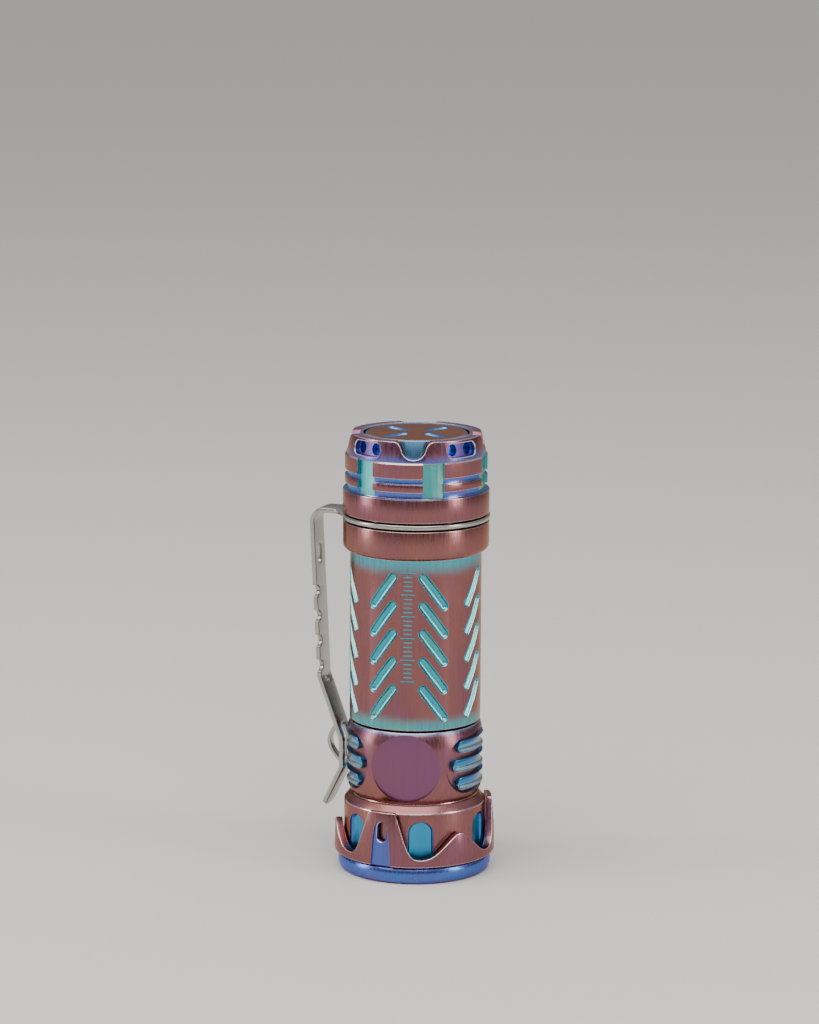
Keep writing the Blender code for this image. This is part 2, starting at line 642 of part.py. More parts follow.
# ---- tail ----
def make_tail_cap(titanium):
    thread = tail_thread + GAP
    seal = tail_thread + SEAL_SPACE
    floor = collar_radius - CAP_GROOVE_INSET
    pocket_top = plate_top + GAP
    disc_floor = disc_bottom - GAP
    outline = [
        (0, pocket_top), (bore, pocket_top), (bore, cap_thread_top), (thread, cap_thread_top),
        (thread, cap_foot + SEAL_COUNTERBORE), (seal, cap_foot + SEAL_COUNTERBORE), (seal, cap_foot),
        (collar_radius, cap_foot)]
    edge = collar_radius
    for low, high in CAP_GROOVES:
        outline += [(edge, cap_foot + low), (floor, cap_foot + low), (floor, cap_foot + high),
                    (fin_radius, cap_foot + high)]
        edge = fin_radius
    outline += [
        (fin_radius, crown_base - CAP_CHAMFER), (fin_radius - CROWN_STEP / 2, crown_base),
        (crown_foot_radius, crown_base), (crown_rim_radius, crown_top), (disc_socket, crown_top),
        (disc_socket, disc_floor), (0, disc_floor)]
    cap = turned("tail_cap", outline, titanium)
    flutes = []
    for flute in range(FLUTE_COUNT):
        low = cap_foot + CAP_GROOVES[0][0]
        reach = collar_radius - floor
        place = facing(FLUTE_DEG + 360.0 / FLUTE_COUNT * flute, floor + reach, (low + crown_base) / 2)
        flutes.append(block_shape((FLUTE_WIDTH, 2 * reach, crown_base - low - 2e-5), place))
    cut(cap, joined_cutter("flute_tool", flutes))
    cuts = []
    for notch in range(NOTCH_COUNT):
        turn = NOTCH_DEG + 360.0 / NOTCH_COUNT * notch
        tall = 2 * CROWN_HEIGHT
        place = facing(turn, disc_socket + NOTCH_WALL, crown_base + tall / 2 + 1e-5, math.pi / 2)
        cuts.append(capsule_shape(tall, NOTCH_WIDTH, crown_foot_radius, place, 7))
        place = facing(turn + 180.0 / NOTCH_COUNT, disc_socket + WINDOW_WALL,
                       crown_base + CROWN_HEIGHT / 2)
        cuts.append(capsule_shape(WINDOW_LENGTH, WINDOW_HEIGHT, crown_foot_radius, place, 5))
    cut(cap, joined_cutter("crown_tool", cuts))


def make_tail_inside(titanium, brass, steel):
    disc = turned("tail_disc", [(0, disc_bottom), (disc_radius, disc_bottom),
                                (disc_radius, disc_top), (0, disc_top)], titanium)
    slots = []
    for slot in range(NOTCH_COUNT):
        side = heading(NOTCH_DEG + 45.0 + 90.0 * slot)
        turn = math.atan2(side.y, side.x)
        centre = side * VIAL_SLOT_CENTRE + Vector((0, 0, disc_top - VIAL_SLOT_DEPTH))
        place = Matrix.Translation(centre) @ Matrix.Rotation(turn, 4, "Z") @ Matrix.Rotation(math.pi / 2, 4, "X")
        slots.append(capsule_shape(VIAL_SLOT_LENGTH, VIAL_SLOT_WIDTH, 2 * VIAL_SLOT_DEPTH, place))
    cut(disc, joined_cutter("vial_slot_tool", slots))
    plate_radius = bore - GAP
    turned("tail_contact_plate", [(0, plate_bottom), (plate_radius, plate_bottom),
                                  (plate_radius, plate_top), (0, plate_top)], brass, 32)
    make_lock_ring("tail_lock_ring", lock_bottom, brass)
    bottom = cell_top + GAP + SPRING_WIRE
    top = plate_bottom - GAP - SPRING_WIRE
    steps = int(SPRING_TURNS * 12)
    coil = []
    for step in range(steps + 1):
        along = step / steps
        turn = 2 * math.pi * SPRING_TURNS * along
        radius = SPRING_NARROW + (SPRING_WIDE - SPRING_NARROW) * along
        coil.append((radius * math.cos(turn), radius * math.sin(turn), bottom + (top - bottom) * along))
    wire("tail_spring", coil, SPRING_WIRE, steel)


# ---- pocket clip ----
def rounded_path(corners, radii, steps=4):
    """Points along straight runs whose corners are replaced by arcs."""
    path = [Vector(corners[0])]
    for before, corner, after, radius in zip(corners, corners[1:], corners[2:], radii):
        corner = Vector(corner)
        back = (Vector(before) - corner).normalized()
        ahead = (Vector(after) - corner).normalized()
        half = back.angle(ahead) / 2
        reach = radius / math.tan(half)
        centre = corner + (back + ahead).normalized() * (radius / math.sin(half))
        start = corner + back * reach - centre
        end = corner + ahead * reach - centre
        turn = start.angle_signed(end)
        for step in range(steps + 1):
            swing = Matrix.Rotation(-turn * step / steps, 2)
            path.append(centre + swing @ start)
    path.append(Vector(corners[-1]))
    return path


def strip_shape(path, width, thickness):
    """Flat spring strip along a path of (distance from the axis, height), on the -X side."""
    shape = bmesh.new()
    rows = []
    for place, point in enumerate(path):
        before = path[max(place - 1, 0)]
        after = path[min(place + 1, len(path) - 1)]
        along = (after - before).normalized()
        side = Vector((along.y, -along.x)) * (thickness / 2)
        rows.append([shape.verts.new((-spot.x, across, spot.y))
                     for spot, across in ((point + side, -width / 2), (point + side, width / 2),
                                          (point - side, width / 2), (point - side, -width / 2))])
    shape.faces.new(rows[0])
    shape.faces.new(rows[-1])
    for row, following in zip(rows, rows[1:]):
        for spot in range(4):
            after = (spot + 1) % 4
            shape.faces.new((row[spot], row[after], following[after], following[spot]))
    bmesh.ops.recalc_face_normals(shape, faces=shape.faces)
    return shape


def arm_corners():
    top = collar_radius + CLIP_REACH
    heel_foot = barrel_centre - CLIP_HEEL_FOOT
    return [(clip_tab_end + GAP, clip_height), (top, clip_height),
            (top - CLIP_LEAN, barrel_centre + CLIP_LOWER_BEND), (clip_rest, barrel_centre + CLIP_HEEL_TOP),
            (clip_rest, heel_foot), (clip_rest + CLIP_TIP_OUT, heel_foot - CLIP_TIP_DROP)]


def make_clip(steel):
    ring = turned("clip_ring", ring_outline(clip_seat + GAP, collar_radius + CLIP_RING_PROUD,
                                            collar_top + GAP, collar_top + GAP + CLIP_THICKNESS), steel)
    inner = (clip_seat + collar_radius) / 2
    tab_path = [Vector((inner, clip_height)), Vector((clip_tab_end, clip_height))]
    tab = joined_cutter("tab_tool", [strip_shape(tab_path, CLIP_WIDTH, CLIP_THICKNESS)])
    weld = ring.modifiers.new("tab", "BOOLEAN")
    weld.operation = "UNION"
    weld.solver = "EXACT"
    weld.object = tab

    corners = arm_corners()
    bends = (CLIP_BEND_RADIUS, CLIP_HEEL_BEND, CLIP_HEEL_BEND, CLIP_HEEL_BEND / 2)
    arm = add_mesh_object("clip_arm", strip_shape(rounded_path(corners, bends), CLIP_WIDTH, CLIP_THICKNESS),
                          steel)
    lower_bend, heel_top, foot = (Vector(corner) for corner in corners[2:5])
    climb = (BRIDGE_TOP - CLIP_HEEL_TOP) / (CLIP_LOWER_BEND - CLIP_HEEL_TOP)
    root = heel_top.lerp(lower_bend, climb)
    bow = [root.lerp(foot, step / 6) + Vector((BRIDGE_RISE * math.sin(math.pi * step / 6), 0))
           for step in range(7)]
    bridge = joined_cutter("bridge_tool", [strip_shape(bow, BRIDGE_WIDTH, CLIP_THICKNESS)])
    weld = arm.modifiers.new("bridge", "BOOLEAN")
    weld.operation = "UNION"
    weld.solver = "EXACT"
    weld.object = bridge


def build():
    start_empty()
    mauve = finish_name("heat_coloured_titanium", (0.42, 0.25, 0.28), 0.30, 1.0)
    blue = finish_name("blued_titanium", (0.12, 0.20, 0.45), 0.28, 1.0)
    spring_steel = finish_name("satin_spring_steel", (0.62, 0.60, 0.57), 0.30, 1.0)
    glass = finish_name("lens_glass", (0.85, 0.92, 0.95), 0.05, 0.0)
    rubber = finish_name("seal_rubber", (0.02, 0.02, 0.02), 0.70, 0.0)
    mirror = finish_name("reflector_mirror", (0.90, 0.90, 0.91), 0.12, 1.0)
    white = finish_name("white_plastic", (0.85, 0.85, 0.83), 0.50, 0.0)
    phosphor = finish_name("led_phosphor", (0.90, 0.78, 0.25), 0.40, 0.0)
    copper = finish_name("copper_board", (0.72, 0.42, 0.28), 0.35, 1.0)
    circuit = finish_name("circuit_board", (0.03, 0.20, 0.10), 0.45, 0.0)
    ferrite = finish_name("dark_component", (0.06, 0.06, 0.065), 0.55, 0.0)
    brass = finish_name("contact_brass", (0.75, 0.58, 0.28), 0.30, 1.0)
    red = finish_name("red_wire", (0.60, 0.04, 0.03), 0.50, 0.0)
    black = finish_name("black_wire", (0.03, 0.03, 0.03), 0.50, 0.0)
    cell = finish_name("cell_steel", (0.55, 0.56, 0.58), 0.35, 1.0)
    make_bezel(blue)
    make_optics(glass, rubber, mirror, white)
    make_led(phosphor, copper)
    make_head(mauve)
    make_skirt(mauve)
    make_driver(circuit, ferrite, brass, red, black)
    make_cell(cell, white)
    make_tube(mauve, rubber)
    make_tail_cap(mauve)
    make_tail_inside(mauve, brass, spring_steel)
    make_clip(spring_steel)


build()
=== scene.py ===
import math

import bpy
from mathutils import Matrix, Vector


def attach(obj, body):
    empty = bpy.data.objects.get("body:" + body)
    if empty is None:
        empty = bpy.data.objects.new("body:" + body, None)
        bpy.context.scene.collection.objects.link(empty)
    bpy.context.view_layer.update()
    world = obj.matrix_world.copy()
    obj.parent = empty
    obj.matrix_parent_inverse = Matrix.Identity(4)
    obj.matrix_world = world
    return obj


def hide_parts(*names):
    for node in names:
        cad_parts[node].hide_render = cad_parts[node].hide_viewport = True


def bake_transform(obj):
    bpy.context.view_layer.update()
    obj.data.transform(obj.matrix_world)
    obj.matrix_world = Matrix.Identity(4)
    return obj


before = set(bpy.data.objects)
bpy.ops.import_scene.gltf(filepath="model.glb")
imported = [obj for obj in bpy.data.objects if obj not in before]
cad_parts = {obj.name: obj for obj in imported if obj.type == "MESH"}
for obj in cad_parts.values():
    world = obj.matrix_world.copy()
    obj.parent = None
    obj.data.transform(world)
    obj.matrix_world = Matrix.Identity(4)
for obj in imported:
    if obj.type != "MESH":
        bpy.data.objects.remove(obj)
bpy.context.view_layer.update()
MM = 0.001

# ---- Stand, camera and light ----
# The light stands on its bezel on a pale floor, seen from a little above with the clip on the left.
# A big overhead softbox and two side ones give the coloured metal its soft streaks.
CAMERA_TURN = math.radians(20.0)
CAMERA_PITCH = math.radians(10.8)
CAMERA_ROLL = math.radians(0.3)
CAMERA_OFFSET = (-1.08 * MM, 58.6 * MM, -616.7 * MM)     # right, up and forward from the axis's foot
CAMERA_LENS = 130.1
CAMERA_SENSOR = 36.0
FLOOR_SIDE = 24.0
FLOOR_COLOUR = (0.62, 0.59, 0.55, 1.0)
WORLD_STRENGTH = 0.75
WORLD_STOPS = [(0.0, (0.75, 0.70, 0.63)), (0.49, (0.78, 0.74, 0.68)), (0.52, (0.30, 0.28, 0.27)),
               (0.60, (0.26, 0.26, 0.28)), (0.72, (0.80, 0.84, 0.92)), (1.0, (1.0, 1.0, 1.0))]
LIT_POINT = (0.0, 0.0, 0.04)


def aim_camera():
    right = Vector((math.cos(CAMERA_TURN), math.sin(CAMERA_TURN), 0.0))
    level = Vector((-math.sin(CAMERA_TURN), math.cos(CAMERA_TURN), 0.0))
    drop = Vector((0.0, 0.0, 1.0))
    ahead = level * math.cos(CAMERA_PITCH) - drop * math.sin(CAMERA_PITCH)
    up = level * math.sin(CAMERA_PITCH) + drop * math.cos(CAMERA_PITCH)
    sideways, rise, forward = CAMERA_OFFSET
    lens = bpy.data.cameras.new("camera")
    lens.lens = CAMERA_LENS
    lens.sensor_width = CAMERA_SENSOR
    lens.clip_start = 0.01
    lens.clip_end = 60.0
    camera = bpy.data.objects.new("camera", lens)
    bpy.context.scene.collection.objects.link(camera)
    facing = Matrix((right, up, -ahead)).transposed() @ Matrix.Rotation(CAMERA_ROLL, 3, "Z")
    place = Matrix.Translation(right * sideways + up * rise + ahead * forward)
    camera.matrix_world = place @ facing.to_4x4()
    bpy.context.scene.camera = camera


def softbox(name, place, width, height, watts, colour):
    lamp = bpy.data.lights.new(name, "AREA")
    lamp.shape = "RECTANGLE"
    lamp.size = width
    lamp.size_y = height
    lamp.energy = watts
    lamp.color = colour
    box = bpy.data.objects.new(name, lamp)
    bpy.context.scene.collection.objects.link(box)
    box.location = place
    box.rotation_euler = (Vector(LIT_POINT) - Vector(place)).to_track_quat("-Z", "Y").to_euler()


def node(tree, kind, links=(), **values):
    """A new node with these settings and inputs. An input is another node's output or a plain value."""
    made = tree.nodes.new(kind)
    for name, value in values.items():
        setattr(made, name, value)
    for socket, source in links:
        if hasattr(source, "is_output"):
            tree.links.new(source, made.inputs[socket])
        else:
            made.inputs[socket].default_value = source
    return made


def set_stops(ramp, stops):
    """Fills a colour ramp with (position, colour) stops, the first at 0 and the last at 1."""
    ramp.color_ramp.elements[0].color = (*stops[0][1], 1)
    ramp.color_ramp.elements[1].color = (*stops[-1][1], 1)
    for position, colour in stops[1:-1]:
        ramp.color_ramp.elements.new(position).color = (*colour, 1)


def light_the_room():
    world = bpy.data.worlds.new("studio")
    bpy.context.scene.world = world
    world.use_nodes = True
    tree = world.node_tree
    background = tree.nodes["Background"]
    background.inputs["Strength"].default_value = WORLD_STRENGTH
    place = node(tree, "ShaderNodeTexCoord")
    split = node(tree, "ShaderNodeSeparateXYZ", [(0, place.outputs["Generated"])])
    lift = node(tree, "ShaderNodeMapRange", [("Value", split.outputs["Z"]), ("From Min", -1.0),
                                             ("From Max", 1.0)])
    ramp = node(tree, "ShaderNodeValToRGB", [("Fac", lift.outputs["Result"])])
    set_stops(ramp, WORLD_STOPS)
    tree.links.new(ramp.outputs["Color"], background.inputs["Color"])
    softbox("overhead_softbox", (0.02, -0.38, 0.72), 1.1, 0.8, 9.0, (1.0, 0.99, 0.98))
    softbox("left_softbox", (-0.60, -0.30, 0.24), 0.16, 0.5, 2.0, (0.97, 0.98, 1.0))
    softbox("right_softbox", (0.62, -0.06, 0.26), 0.16, 0.5, 1.8, (1.0, 0.98, 0.95))


def lay_floor():
    bpy.ops.object.select_all(action="DESELECT")
    bpy.ops.mesh.primitive_plane_add(size=FLOOR_SIDE, location=(0, 0, 0))
    floor = bpy.context.object
    floor.name = "floor"
    finish = bpy.data.materials.new("pale_floor")
    finish.use_nodes = True
    shader = finish.node_tree.nodes["Principled BSDF"]
    shader.inputs["Base Color"].default_value = FLOOR_COLOUR
    shader.inputs["Roughness"].default_value = 0.75
    floor.data.materials.append(finish)


aim_camera()
light_the_room()
lay_floor()

# ---- Bezel ring ----
# The front ring is turned from titanium, heated until it goes blue, and screwed into the head over the
# reflector. Its rounded outer edge carries the light when it stands head down.
SIDES = 168
MERGE = 2e-6
BEZEL_RADIUS = 12.63
BEZEL_FOOT = 0.02
BEZEL_TOP = 2.72
BEZEL_BORE = 9.07
LENS_SEAT_RADIUS = 10.27
LENS_SEAT_TOP = 3.25
BEZEL_NECK_RADIUS = 10.37
BEZEL_NECK_TOP = 6.03


def wake(thing):
    """Selects only this object and makes it the active one."""
    bpy.ops.object.select_all(action="DESELECT")
    thing.select_set(True)
    bpy.context.view_layer.objects.active = thing


def turn_profile(name, outline, solid=False):
    """A ring turned from a closed outline of (radius, height) points, or a solid from an open one."""
    bpy.ops.object.select_all(action="DESELECT")
    radius, height = outline[0]
    bpy.ops.mesh.primitive_circle_add(vertices=SIDES, radius=radius * MM, location=(0, 0, height * MM),
                                      fill_type="NGON" if solid else "NOTHING")
    piece = bpy.context.object
    piece.name = name
    bpy.ops.object.transform_apply(location=True, rotation=True, scale=True)
    bpy.ops.object.mode_set(mode="EDIT")
    bpy.ops.mesh.select_all(action="SELECT")
    points = outline if solid else outline + outline[:1]
    for (before, low), (after, high) in zip(points, points[1:]):
        bpy.ops.mesh.extrude_region_move(TRANSFORM_OT_translate={"value": (0, 0, (high - low) * MM)})
        grow = after / before
        bpy.ops.transform.resize(value=(grow, grow, 1), center_override=(0, 0, high * MM))
    bpy.ops.mesh.select_all(action="SELECT")
    bpy.ops.mesh.remove_doubles(threshold=MERGE)
    bpy.ops.mesh.normals_make_consistent(inside=False)
    bpy.ops.object.mode_set(mode="OBJECT")
    return piece


def soften(piece, width, steps=2, angle=30.0, edge_slot=-1):
    """Rounds every edge sharper than the angle; edge_slot is the material that the rounding takes."""
    wake(piece)
    rounding = piece.modifiers.new("rounding", "BEVEL")
    rounding.limit_method = "ANGLE"
    rounding.angle_limit = math.radians(angle)
    rounding.width = width * MM
    rounding.segments = steps
    rounding.use_clamp_overlap = False
    rounding.material = edge_slot
    bpy.ops.object.modifier_apply(modifier=rounding.name)


def smooth(piece, angle):
    wake(piece)
    bpy.ops.object.shade_smooth_by_angle(angle=math.radians(angle))


def give(piece, *finishes):
    """Adds materials to a piece, in the order of its slots."""
    for finish in finishes:
        piece.data.materials.append(finish)


def new_material(name):
    finish = bpy.data.materials.new(name)
    finish.use_nodes = True
    return finish, finish.node_tree, finish.node_tree.nodes["Principled BSDF"]


def noise(tree, place, scale, **inputs):
    links = [("Vector", place), ("Scale", scale)] + [(name.title(), value) for name, value in inputs.items()]
    return node(tree, "ShaderNodeTexNoise", links).outputs["Fac"]


def maths(tree, operation, *values):
    return node(tree, "ShaderNodeMath", enumerate(values), operation=operation).outputs[0]


def remap(tree, value, low, high, start=0.3, stop=0.7, **values):
    """Carries start..stop over to low..high; the start and stop that it has suit a noise."""
    return node(tree, "ShaderNodeMapRange", [("Value", value), ("From Min", start), ("From Max", stop),
                                             ("To Min", low), ("To Max", high)], **values).outputs[0]


def mixed(tree, factor, first, second, blend_type="MIX"):
    """The mix of two colours. A Mix node's sockets share their names, so they go by number."""
    return node(tree, "ShaderNodeMix", [(0, factor), (6, first), (7, second)], data_type="RGBA",
                blend_type=blend_type).outputs[2]


HEAT_SHADES = [(0.0, (0.78, 0.46, 0.22)), (0.14, (0.33, 0.14, 0.09)), (0.28, (0.235, 0.098, 0.11)),
               (0.40, (0.21, 0.085, 0.18)), (0.52, (0.14, 0.12, 0.42)), (0.64, (0.05, 0.18, 0.54)),
               (0.78, (0.035, 0.36, 0.54)), (0.90, (0.09, 0.42, 0.41)), (1.0, (0.42, 0.70, 0.64))]
# The near-white that Lift mixes in: it lightens some tints, and on edges and up-facing walls it is a painted
# highlight.
PALE_TINT_AND_HIGHLIGHT = (1.0, 0.86, 0.90, 1.0)
BRUSH_SCALE = 2600.0
BRUSH_STRETCH = 0.06
BRUSH_SWING = 0.22
CLOUD_SCALE = 170.0
CLOUD_STRETCH = 0.35
CLOUD_SWING = 4.0


def heat_tint_group():
    """The colour of hot titanium, from straw through mauve and blue to pale teal, with brushed streaks and a
    lift towards near-white that some finishes use as a painted highlight.
    """
    group = bpy.data.node_groups.new("heat_tint", "ShaderNodeTree")
    for name, start in (("Heat", 0.3), ("Spread", 0.05), ("Streaks", 0.5), ("Lift", 0.0)):
        group.interface.new_socket(name, in_out="INPUT", socket_type="NodeSocketFloat").default_value = start
    group.interface.new_socket("Color", in_out="OUTPUT", socket_type="NodeSocketColor")
    group.interface.new_socket("Streak", in_out="OUTPUT", socket_type="NodeSocketFloat")
    given = group.nodes.new("NodeGroupInput")
    result = group.nodes.new("NodeGroupOutput")
    place = group.nodes.new("ShaderNodeTexCoord").outputs["Object"]
    # noise drawn out up the axis makes the brushed lines, and a wider one the drift from shade to shade
    stretch = node(group, "ShaderNodeMapping", [("Vector", place), ("Scale", (1.0, 1.0, BRUSH_STRETCH))])
    lines = noise(group, stretch.outputs[0], BRUSH_SCALE, detail=3.0, roughness=0.6)
    broad = node(group, "ShaderNodeMapping", [("Vector", place), ("Scale", (1.0, 1.0, CLOUD_STRETCH))])
    cloud = noise(group, broad.outputs[0], CLOUD_SCALE, detail=3.0)
    wide = maths(group, "MULTIPLY", maths(group, "SUBTRACT", cloud, 0.5), CLOUD_SWING)
    drift = maths(group, "MULTIPLY_ADD", wide, given.outputs["Spread"], given.outputs["Heat"])
    fine = maths(group, "MULTIPLY", maths(group, "SUBTRACT", lines, 0.5), given.outputs["Streaks"])
    heat = maths(group, "MULTIPLY_ADD", fine, BRUSH_SWING, drift)
    ramp = node(group, "ShaderNodeValToRGB", [("Fac", heat)])
    set_stops(ramp, HEAT_SHADES)
    # Lift pales the colour towards near-white; the edge and wall finishes use this as a painted highlight.
    pale = mixed(group, given.outputs["Lift"], ramp.outputs["Color"], PALE_TINT_AND_HIGHLIGHT)
    shade = remap(group, lines, 0.80, 1.12)
    toned = mixed(group, given.outputs["Streaks"], pale, shade, "MULTIPLY")
    group.links.new(toned, result.inputs["Color"])
    group.links.new(lines, result.inputs["Streak"])
    return group


HEAT_TINT = heat_tint_group()


def tint_node(tree, heat, spread, streaks, lift):
    tint = tree.nodes.new("ShaderNodeGroup")
    tint.node_tree = HEAT_TINT
    for name, value in (("Heat", heat), ("Spread", spread), ("Streaks", streaks), ("Lift", lift)):
        tint.inputs[name].default_value = value
    return tint


SMOOTH_ANGLE = 32.0
FADE_WOBBLE = 0.9
FADE_SCALE = 230.0
WARM_EDGE = (1.0, 0.80, 0.66)


def heat_metal(name, heat, spread=0.045, streaks=0.5, lift=0.0, roughness=0.27, fades=(), edge=WARM_EDGE):
    """Heat-coloured titanium. A fade is (height where it is full, height where it ends, heat, strength)."""
    finish, tree, shader = new_material(name)
    tint = tint_node(tree, heat, spread, streaks, lift)
    colour = tint.outputs["Color"]
    if fades:
        place = tree.nodes.new("ShaderNodeTexCoord").outputs["Object"]
        split = node(tree, "ShaderNodeSeparateXYZ", [(0, place)])
        wobble = noise(tree, place, FADE_SCALE)
        height = maths(tree, "MULTIPLY_ADD", wobble, FADE_WOBBLE * MM, split.outputs["Z"])
        for full, gone, blush, strength in fades:
            blend = remap(tree, height, strength, 0.0, (full + FADE_WOBBLE / 2) * MM,
                          (gone + FADE_WOBBLE / 2) * MM, interpolation_type="SMOOTHSTEP")
            other = tint_node(tree, blush, spread, streaks, lift)
            colour = mixed(tree, blend, colour, other.outputs["Color"])
    tree.links.new(colour, shader.inputs["Base Color"])
    shader.inputs["Metallic"].default_value = 1.0
    shader.inputs["Specular Tint"].default_value = (*edge, 1.0)
    rough = remap(tree, tint.outputs["Streak"], roughness - 0.05, roughness + 0.07)
    tree.links.new(rough, shader.inputs["Roughness"])
    grain = node(tree, "ShaderNodeBump", [("Height", tint.outputs["Streak"]), ("Strength", 0.5 * streaks),
                                          ("Distance", 0.02 * MM)])
    tree.links.new(grain.outputs[0], shader.inputs["Normal"])
    return finish


def seat(piece, body, cad_node):
    """Shades the finished piece, hangs it on its body and lets it stand for its CAD node."""
    smooth(piece, SMOOTH_ANGLE)
    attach(piece, body)
    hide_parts(cad_node)


def make_bezel():
    outline = [(BEZEL_BORE, LENS_SEAT_TOP), (LENS_SEAT_RADIUS, LENS_SEAT_TOP),
               (LENS_SEAT_RADIUS, BEZEL_FOOT + 0.3), (LENS_SEAT_RADIUS + 0.28, BEZEL_FOOT),
               (BEZEL_RADIUS - 0.63, BEZEL_FOOT), (BEZEL_RADIUS - 0.25, BEZEL_FOOT + 0.26),
               (BEZEL_RADIUS - 0.03, 0.9), (BEZEL_RADIUS, 1.5), (BEZEL_RADIUS - 0.03, 2.2),
               (BEZEL_RADIUS - 0.28, BEZEL_TOP), (BEZEL_NECK_RADIUS, BEZEL_TOP),
               (BEZEL_NECK_RADIUS, BEZEL_NECK_TOP), (BEZEL_BORE, BEZEL_NECK_TOP)]
    bezel = turn_profile("blued_bezel", outline)
    give(bezel, heat_metal("blued_titanium", 0.60, spread=0.03, streaks=0.35, roughness=0.24,
                           fades=((0.1, 0.8, 0.46, 0.9), (2.75, 2.3, 0.48, 0.9)), edge=(0.80, 0.70, 1.0)))
    soften(bezel, 0.10, 2, 25.0)
    seat(bezel, "head", "bezel_ring")


make_bezel()

# ---- Window, reflector and LED ----
# A coated glass window drops into the bezel on a rubber seal. Behind it an aluminised reflector sits on a
# white centring ring round the LED, which is soldered to a copper board with a red and a black wire.
WINDOW_RADIUS = 9.97
WINDOW_FOOT = 0.45
WINDOW_THICKNESS = 1.5
MIRROR_MOUTH = 8.47
MIRROR_THROAT = 2.4
MIRROR_LENGTH = 8.0
MIRROR_FLANGE_RADIUS = 8.77
MIRROR_FLANGE_HEIGHT = 1.3
MIRROR_BACK_RADIUS = 4.2
MIRROR_STEPS = 24


def plain_finish(name, colour, roughness, metallic=0.0, speckle=0.06, scale=900.0):
    """A moulded, plated or painted surface with a faint mottle in its colour and gloss."""
    finish, tree, shader = new_material(name)
    place = tree.nodes.new("ShaderNodeTexCoord").outputs["Object"]
    mottle = noise(tree, place, scale, detail=4.0)
    dark = [channel * (1 - 2 * speckle) for channel in colour]
    light = [min(1.0, channel * (1 + 2 * speckle)) for channel in colour]
    tree.links.new(mixed(tree, mottle, (*dark, 1.0), (*light, 1.0)), shader.inputs["Base Color"])
    gloss = remap(tree, mottle, roughness * 0.85, min(1.0, roughness * 1.15))
    tree.links.new(gloss, shader.inputs["Roughness"])
    shader.inputs["Metallic"].default_value = metallic
    return finish


def coat(name, finish):
    """Gives a CAD node that stays in view a worked material."""
    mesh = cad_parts[name].data
    mesh.materials.clear()
    mesh.materials.append(finish)


def make_window():
    outline = [(WINDOW_RADIUS, WINDOW_FOOT), (WINDOW_RADIUS, WINDOW_FOOT + WINDOW_THICKNESS)]
    window = turn_profile("front_window", outline, solid=True)
    glass, tree, shader = new_material("coated_glass")
    shader.inputs["Roughness"].default_value = 0.02
    shader.inputs["Transmission Weight"].default_value = 1.0
    shader.inputs["IOR"].default_value = 1.5
    place = tree.nodes.new("ShaderNodeTexCoord").outputs["Object"]
    film = noise(tree, place, 60.0)
    tone = mixed(tree, film, (0.86, 0.93, 1.0, 1.0), (0.92, 0.97, 0.96, 1.0))
    tree.links.new(tone, shader.inputs["Base Color"])
    give(window, glass)
    soften(window, 0.15, 2)
    seat(window, "head", "lens")


def make_reflector():
    """The mirror is a parabola from the mouth at the window back to the throat at the LED."""
    bowl = []
    for step in range(MIRROR_STEPS + 1):
        radius = MIRROR_MOUTH + (MIRROR_THROAT - MIRROR_MOUTH) * step / MIRROR_STEPS
        depth = (MIRROR_MOUTH ** 2 - radius ** 2) / (MIRROR_MOUTH ** 2 - MIRROR_THROAT ** 2)
        bowl.append((radius, LENS_SEAT_TOP + MIRROR_LENGTH * depth))
    back = [(MIRROR_BACK_RADIUS, LENS_SEAT_TOP + MIRROR_LENGTH),
            (MIRROR_FLANGE_RADIUS, LENS_SEAT_TOP + MIRROR_FLANGE_HEIGHT),
            (MIRROR_FLANGE_RADIUS, LENS_SEAT_TOP)]
    reflector = turn_profile("polished_reflector", bowl + back)
    give(reflector, plain_finish("vapour_aluminium", (0.90, 0.90, 0.91), 0.10, 1.0, 0.01))
    seat(reflector, "head", "reflector")


make_window()
make_reflector()
rubber = plain_finish("seal_rubber", (0.02, 0.02, 0.02), 0.75, 0.0, 0.15)
white_moulding = plain_finish("white_moulding", (0.84, 0.84, 0.82), 0.5)
coat("lens_gasket", rubber)
coat("led_emitter", plain_finish("yellow_phosphor", (0.90, 0.76, 0.20), 0.42))
coat("led_centring_ring", white_moulding)
coat("led_board", plain_finish("bare_copper", (0.72, 0.40, 0.26), 0.35, 1.0, 0.08))
coat("led_wire_positive", plain_finish("red_insulation", (0.55, 0.03, 0.025), 0.42))
coat("led_wire_negative", plain_finish("black_insulation", (0.03, 0.03, 0.03), 0.42))

# ---- Head ----
# One turned titanium body. Its foot is the ring that the crown stands round, with six round-topped flutes.
# Above a dark waist is the barrel, crowned, with two milled round flats and two deep grip pockets whose
# three bars each have a scooped face. Its neck screws into the tube.
RING_FOOT = 3.05
RING_RADIUS = 11.67
RING_TOP = 11.6
WAIST_RADIUS = 10.35
BARREL_FLOOR = 13.0
BARREL_MIDDLE = 19.05
BARREL_TOP = 25.05
BARREL_RADIUS = 11.5
BARREL_FOOT_RADIUS = 10.45
BARREL_SHOULDER_RADIUS = 10.72
BARREL_SWELL = 3.6
BARREL_STEPS = 18
NECK_RADIUS = 9.3
NECK_TOP = 29.1
BACK_BORE = 8.5
SHELF_TOP = 17.4
CAVITY_RADIUS = 9.2
CAVITY_FOOT = 6.35
FRONT_BORE = 10.67
FLAT_TURN = 12.0
FLAT_DISTANCE = 10.0
FLAT_RADIUS = 5.65
POCKET_TURN = 102.0
POCKET_FLOOR = 10.45
POCKET_HEIGHT = 10.5
POCKET_HALF_TURN = 55.6
BAR_COUNT = 3
BAR_PITCH = 3.08
BAR_WIDTH = 2.1
BAR_MARGIN = 1.5
BAR_ROOT = 0.35
FLUTE_COUNT = 6
FLUTE_TURN = 25.0
FLUTE_TOP = 10.4
FLUTE_LENGTH = 12.0
FLUTE_WIDTH = 4.3
WRAP_STRIP = 0.4


